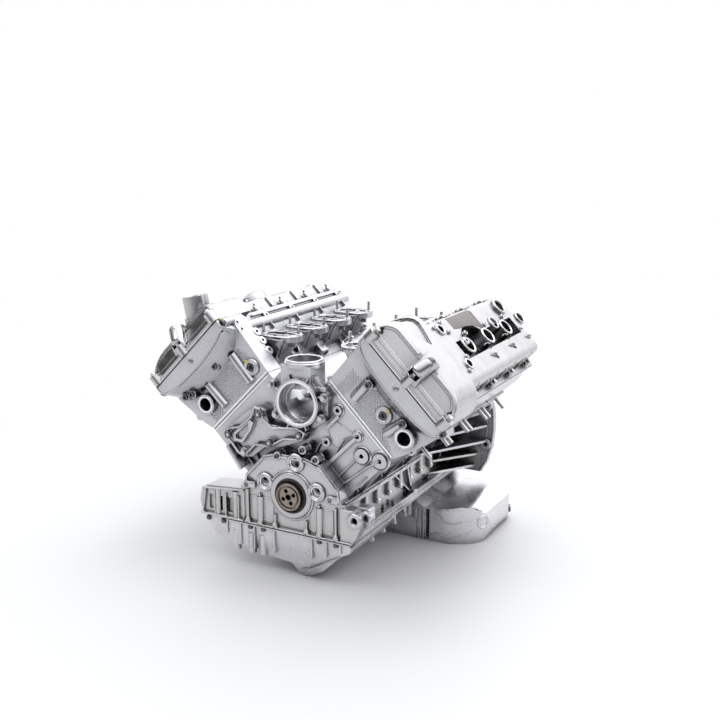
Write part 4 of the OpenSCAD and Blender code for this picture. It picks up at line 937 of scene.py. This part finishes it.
@dataclass
class CrankcaseFlank(BankPart):
    """What stands along one side of the crankcase: flange lines, screws under the flanges and the bell's rim."""

    def draw(self) -> None:
        """Draws the pieces of this flank."""
        sign = self.side.value
        side = Plane.flank(sign, SKIRT_X + 8)
        rim = self.piece("flange_edges", MILLED)
        rim.band(side, [(18, -1.4), (500, -1.4)], 1.6, -1, 1, 0.4)
        rim.band(side, [(18, 4), (498, 4)], 2.2, -3, 0.6, 0.5)
        low = Plane.flank(sign, SKIRT_X + 16)
        rim.band(low, [(60, -64.2), (500, -64.2)], 2, -1, 0.9, 0.5)
        rim.band(low, [(60, -71), (498, -71)], 2, -1, 0.9, 0.5)
        rim.band(low, [(30, -82), (490, -82)], 2, -1, 0.8, 0.5)
        screws = self.piece("flange_screws", STEEL)
        bosses = self.piece("flange_bosses", BED)
        for j in range(8):
            y = 98 + j * PITCH / 2
            plane = Plane.level(-33)
            screws.turned(plane, (sign * (SKIRT_X + 6.5), y),
                          [(6.6, 0), (6.6, -1.6), (4.8, -2.2), (4.8, -6.4), (4, -7.2)], 20)
            bosses.turned(Plane.level(-83), (sign * (SKIRT_X + 10), y + 12), [
                (5.4, 2), (5, -14), (7.4, -18.5), (7.4, -20), (6.4, -20.6)], 20)
        bell = self.piece("bell_rim", CAST)
        edge = Plane.front(500)
        line = [(sign * x, z) for x, z in ((188, -70), (203, -44), (214, -8), (218, 30), (216, 70), (210, 92))]
        bell.band(edge, line, 7, -3, 4, 2)
        bell.band(edge, [(x - sign * 15, z) for x, z in line[1:]], 3.6, -3, 2.6, 1.2)
        for x, z in ((202, -4), (202, 84)):
            bell.boss(edge, (sign * x, z), 12, -3, 10, 5)


@dataclass(frozen=True)
class LobeWall(Plane):
    """The upright wall of the sump's rear lobe, unrolled: a runs along the wall from its left end."""

    centre: Pair = (178.0, 385.0)
    radius: float = 90.0
    straight: float = 30.0

    def point(self, a: float, b: float, w: float) -> Vector:
        """A drawn point in metres."""
        x, y = self.centre
        reach = self.radius + w
        if a < self.straight:
            return Vector((x - self.straight + a, y - self.radius - w, b)) * MM
        angle = (a - self.straight) / self.radius - math.pi / 2
        if angle < 0:
            return Vector((x + reach * math.cos(angle), y + reach * math.sin(angle), b)) * MM
        return Vector((x + reach, y + angle * self.radius, b)) * MM

    @classmethod
    def of_sump(cls) -> "LobeWall":
        """The wall as it stands on the sump."""
        return cls(Vector(), ACROSS, UP, -BACK)


@dataclass
class SumpTrim(SubAssembly):
    """The creases, round boss and fins of the sump's rear lobe, and the lines of its front lobe."""

    creases: tuple[tuple[list[Pair], float, float, float, float], ...] = (
        ([(16, -94), (30, -108), (44, -121), (62, -122), (84, -116), (112, -112), (132, -110)],
         2.6, -3, 1.5, 0.9),
        ([(8, -152), (30, -146), (56, -152), (84, -144), (112, -134), (136, -128)], 3.4, -3, 1.7, 1.2),
        ([(4, -96), (30, -94), (70, -91), (110, -90), (140, -92)], 3, -4, 1.1, 1.2))

    def curve(self, corners: Sequence[Pair], steps: int = 6) -> list[Pair]:
        """A polyline with more points, so that a band follows the round wall."""
        line = []
        for (a0, b0), (a1, b1) in zip(corners, corners[1:]):
            for i in range(steps):
                t = i / steps
                ease = t * t * (3 - 2 * t)
                line.append((a0 + (a1 - a0) * t, b0 + (b1 - b0) * ease))
        return line + [corners[-1]]

    def draw(self) -> None:
        """Draws the sump's trim."""
        wall = LobeWall.of_sump()
        cast = self.piece("sump_creases", SUMP_CAST)
        for line, width, low, high, draft in self.creases:
            cast.band(wall, self.curve(line), width, low, high, draft)
        cast.rim(wall, disc((128, -122), 15), 4, -2, 2.6, 1.2)
        for x, low in ((128, -164), (139, -158), (146, -164)):
            cast.band(Plane.front(296), [(x, low), (x, -96)], 5, -2, 3, 1.6)
        cast.band(Plane.front(14), [(34, -146), (56, -134), (80, -118), (104, -104)], 5, -8, 3, 1.8)
        cast.band(Plane.front(22), [(16, -150), (44, -140), (60, -128), (92, -104)], 4, -8, 3, 1.6)
        # a dark plate in the slot: painted shade
        slot = self.piece("sump_slot", SHADOW)
        slot.block(Plane.front(299.2), [(150.4, -160), (157.6, -160), (157.6, -98), (150.4, -98)], -0.2, 0.2, 0)


@dataclass
class HubFace(SubAssembly):
    """The turned face of the crank hub."""

    def draw(self) -> None:
        """Draws the hub's rings, which turn with the crank."""
        plane = Plane.front(0)
        ring = self.piece("hub_rings", HUB, body="crank")
        ring.rim(plane, disc((0, 0), 26.6, 40), 2.2, -0.6, 0.9, 0.5)
        ring.rim(plane, disc((0, 0), 7.2, 28), 1.4, -0.4, 0.7, 0.3)
        self.piece("seal_lip", RUBBER).rim(Plane.front(6.4), disc((0, 0), 33.4, 40), 3.2, -1, 1, 0.6)


@dataclass
class IntakeTrim(BankPart):
    """Rims round the intake mouths, dividing walls, the studs' bosses and the rail of one bank."""

    def draw(self) -> None:
        """Draws the trim of one intake flange."""
        s = self.side.value
        top = Plane.level(INTAKE_Z)
        rims = self.piece("intake_rims", MILLED)
        cast = self.piece("intake_bosses", CAST)
        for y in self.bores:
            rims.rim(top, rounded_box(s * PORT_X - 36, y - 32, s * PORT_X + 36, y + 32, 16), 3.6, -0.8, 0.8, 0.4)
            cast.block(top, rounded_box(s * PORT_X - 34, y - 2.4, s * PORT_X + 34, y + 2.4, 2), -24, -1.2, 1)
            cast.block(self.front(y + 21), [(-103, 229.4), (-143, 243.2), (-141, 252), (-106, 240)],
                       0, 42, 1.2)
            for x, dy in ((131, -11), (63, 11)):
                cast.turned(top, (s * x, y + dy), [(8, -6), (8, 1), (7, 2), (3.2, 2)], 20)
        rail = self.piece("bank_rail", CAST)
        inner = self.inner(-96)
        for y in self.bores:
            rail.boss(inner, (y + 46, 330), 8, -4, 7, 3)
            rail.band(inner, [(y + 46, 300), (y + 46, 326)], 5, -3, 4, 1.6)
        rail.band(inner, [(140, 318), (495, 318)], 16, -3, 5, 5.5)
        rail.band(inner, [(140, 337.4), (500, 337.4)], 3, -2, 5, 0.8)
        self.piece("rail_edge", MILLED).band(inner, [(138, 338.6), (500, 338.6)], 2.2, 2, 5.4, 0.5)


@dataclass
class Valley(BankPart):
    """What stands on the flank of a bank that faces the valley: a coolant flange, ribs, a pad and two sensors."""

    wall_u: float = -84.0
    flange_at: Pair = (184.0, 241.0)
    sensors: tuple[Pair, ...] = ((386.0, 216.0), (470.0, 232.0))

    def draw(self) -> None:
        """Draws the pieces between the intake runners of one bank."""
        shift = self.side.shift - BANK_SHIFT
        wall = self.inner(self.wall_u)
        cast = self.piece("valley_castings", CAST)
        for k in range(3):
            y = self.side.bore_y(k) + PITCH / 2
            for dy in (-14, 14):
                cast.band(wall, [(y + dy, 209), (y + dy + 2, 236), (y + dy, 262)], 4, -4, 9, 1.4)
        y, v = self.flange_at
        cast.turned(wall, (y + shift, v), [(16.5, -4), (15.5, 6), (17, 11), (21.5, 12.5), (21.5, 17), (20.6, 18),
                                           (12.6, 18), (12.2, 6)])
        y = self.side.bore_y(1) + PITCH / 2
        cast.block(wall, rounded_box(y - 15, 212, y + 15, 238, 3), -4, 15, 1.8)
        face = self.piece("valley_faces", MILLED)
        face.rim(wall, disc((self.flange_at[0] + shift, v), 20.4), 7.4, 16, 18.6, 0.4)
        # a dark disc inside the flange's bore: painted shade
        hollow = self.piece("valley_hollow_shade", SHADOW)
        hollow.turned(wall, (self.flange_at[0] + shift, v), [(12.5, 6.5), (12.4, 7)])
        steel = self.piece("valley_plugs", STEEL)
        dots = self.piece("valley_dabs", PAINT)
        for y, v in self.sensors:
            steel.turned(wall, (y + shift, v), [(9.5, -4), (9.5, 3), (8, 4), (8, 20), (7, 21.5), (4.6, 21.5),
                                                (4.4, 27), (3.6, 27.6)])
            dots.turned(wall, (y + shift, v + 5.8), [(2.4, 20.4), (2.2, 22.2), (1, 22.6)], 12)


@dataclass
class PaintDots(SubAssembly):
    """Small dabs of inspection paint."""

    def draw(self) -> None:
        """Draws the dabs on the bank fronts."""
        dots = self.piece("paint_dabs", PAINT)
        for side, u, v, w in ((Side.RIGHT, 4, 266, 5.3), (Side.LEFT, -91, 251, 5.3), (Side.LEFT, -119, 337, 26.5),
                              (Side.RIGHT, -104, 333, 26.5)):
            plane = BankPart(side).front(FRONT_Y)
            dots.turned(plane, (u, v), [(3.2, w - 1.5), (2.8, w + 0.3), (1.2, w + 0.6)], 14)


@dataclass
class Studio:
    """The floor, the lamps, the world's light and the camera."""

    floor_z: float = -0.166
    floor_shade: float = 0.55
    floor_rings: tuple[float, ...] = (0.7, 1.6, 4.0, 12.0, 40.0)
    floor_steps: int = 64
    engine_mid: Triple = (0.0, 0.25, 0.1)
    low_light: float = 0.02
    high_light: float = 1.9
    back_light: float = 1.3
    soft_tone: tuple[float, ...] = (0.96, 0.97, 1.0, 1.0)
    white: tuple[float, ...] = (1.0, 1.0, 1.0, 1.0)
    target: Triple = (0.018, 0.250, 0.216)
    azimuth: float = 28.45
    elevation: float = 13.1
    distance: float = 2.037
    lamps: tuple[tuple[str, Triple, float, float], ...] = (
        ("key_lamp", (-1.7, -1.4, 2.3), 0.9, 8.0), ("top_lamp", (0.3, 0.6, 2.6), 1.2, 22.0),
        ("side_lamp", (2.4, 0.9, 1.3), 0.9, 8.0))

    def place(self, name: str, data: bpy.types.ID) -> bpy.types.Object:
        """Puts a new object with the given data into the scene."""
        obj = bpy.data.objects.new(name, data)
        bpy.context.scene.collection.objects.link(obj)
        return obj

    def floor(self) -> None:
        """A wide pale floor that fades to white away from the engine."""
        part = bmesh.new()
        middle = Vector((self.engine_mid[0], self.engine_mid[1], self.floor_z))
        first = part.verts.new(middle)
        previous: list[bmesh.types.BMVert] = []
        for radius in self.floor_rings:
            ring = [part.verts.new((x, middle.y + y, self.floor_z))
                    for x, y in disc((0, 0), radius, self.floor_steps)]
            for i in range(self.floor_steps):
                j = (i + 1) % self.floor_steps
                inner = (previous[i], ring[i], ring[j], previous[j]) if previous else (first, ring[i], ring[j])
                part.faces.new(inner)
            previous = ring
        mesh = bpy.data.meshes.new("floor")
        part.to_mesh(mesh)
        part.free()
        obj = self.place("floor", mesh)
        mat = bpy.data.materials.new("pale_floor")
        graph = Graph(mat)
        nodes = mat.node_tree.nodes
        graph.feed(nodes["Principled BSDF"], {"Base Color": (self.floor_shade,) * 3 + (1.0,), "Roughness": 0.55})
        glow = graph.add("Emission", "Emission", {"Strength": 1.0})
        spot = graph.add("NewGeometry", "Position")
        reach = graph.add("VectorMath", "Value", {0: spot, 1: middle}, operation="DISTANCE")
        fade = graph.span(reach, (0.45, 1.3), (0.0, 1.0), interpolation_type="SMOOTHSTEP")
        seen = graph.add("Math", "Value", {0: fade, 1: graph.add("LightPath", "Is Camera Ray")},
                         operation="MULTIPLY")
        mix = graph.add("MixShader", "Shader", {"Fac": seen, 2: glow,
                                                1: nodes["Principled BSDF"].outputs["BSDF"]})
        graph.feed(nodes["Material Output"], {"Surface": mix})
        obj.data.materials.append(mat)

    def lamp(self, name: str, spot: Triple, size: float, power: float) -> None:
        """A square soft lamp that faces the engine."""
        data = bpy.data.lights.new(name, "AREA")
        data.shape, data.size, data.energy = "SQUARE", size, power
        obj = self.place(name, data)
        obj.location = spot
        obj.rotation_euler = (Vector(self.engine_mid) - Vector(spot)).to_track_quat("-Z", "Y").to_euler()

    def world(self) -> None:
        """A soft surround: white to the camera; otherwise bright above and behind, dark at the horizon."""
        world = bpy.data.worlds.new("studio")
        bpy.context.scene.world = world
        graph = Graph(world)
        world.node_tree.nodes.clear()
        split = world.node_tree.nodes.new("ShaderNodeSeparateXYZ")
        graph.feed(split, {0: graph.add("TexCoord", "Generated")})
        height = graph.span(split.outputs["Z"], (0.15, 0.9), (self.low_light, self.high_light),
                            interpolation_type="SMOOTHSTEP")
        behind = graph.span(split.outputs["Y"], (0.1, 0.9), (0.0, self.back_light))
        total = graph.add("Math", "Value", {0: height, 1: behind}, operation="ADD")
        soft = graph.add("Background", "Background", {"Color": self.soft_tone, "Strength": total})
        white = graph.add("Background", "Background", {"Color": self.white})
        seen = graph.add("LightPath", "Is Camera Ray")
        mix = graph.add("MixShader", "Shader", {"Fac": seen, 1: soft, 2: white})
        graph.feed(world.node_tree.nodes.new("ShaderNodeOutputWorld"), {"Surface": mix})

    def camera(self) -> None:
        """The camera at the photograph's viewing angle."""
        data = bpy.data.cameras.new("camera")
        data.lens, data.sensor_width, data.clip_end = 50.0, 36.0, 100.0
        obj = self.place("camera", data)
        az, el = math.radians(self.azimuth), math.radians(self.elevation)
        away = Vector((math.sin(az) * math.cos(el), -math.cos(az) * math.cos(el), math.sin(el)))
        obj.location = Vector(self.target) + away * self.distance
        obj.rotation_euler = (math.radians(90 - self.elevation), 0.0, az)
        bpy.context.scene.camera = obj

    def build(self) -> None:
        """Sets the whole stage."""
        bpy.context.scene.view_settings.view_transform = "Standard"
        self.floor()
        for name, spot, size, power in self.lamps:
            self.lamp(name, spot, size, power)
        self.world()
        self.camera()
        LOG.info("stage set")


def main() -> None:
    """Builds the scene."""
    logging.basicConfig(level=logging.INFO, format="%(name)s %(message)s")
    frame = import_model()
    CarriedNodes().build(frame)
    for side in Side:
        for kind in (HeadFront, CoverTrim, IntakeTrim, CrankcaseFlank, Valley):
            kind(side).build()
    for kind in (FrontWall, CoolantTrim, BedplateFront, SumpTrim, HubFace, PaintDots):
        kind().build()
    Studio().build()


if __name__ == "__main__":
    main()
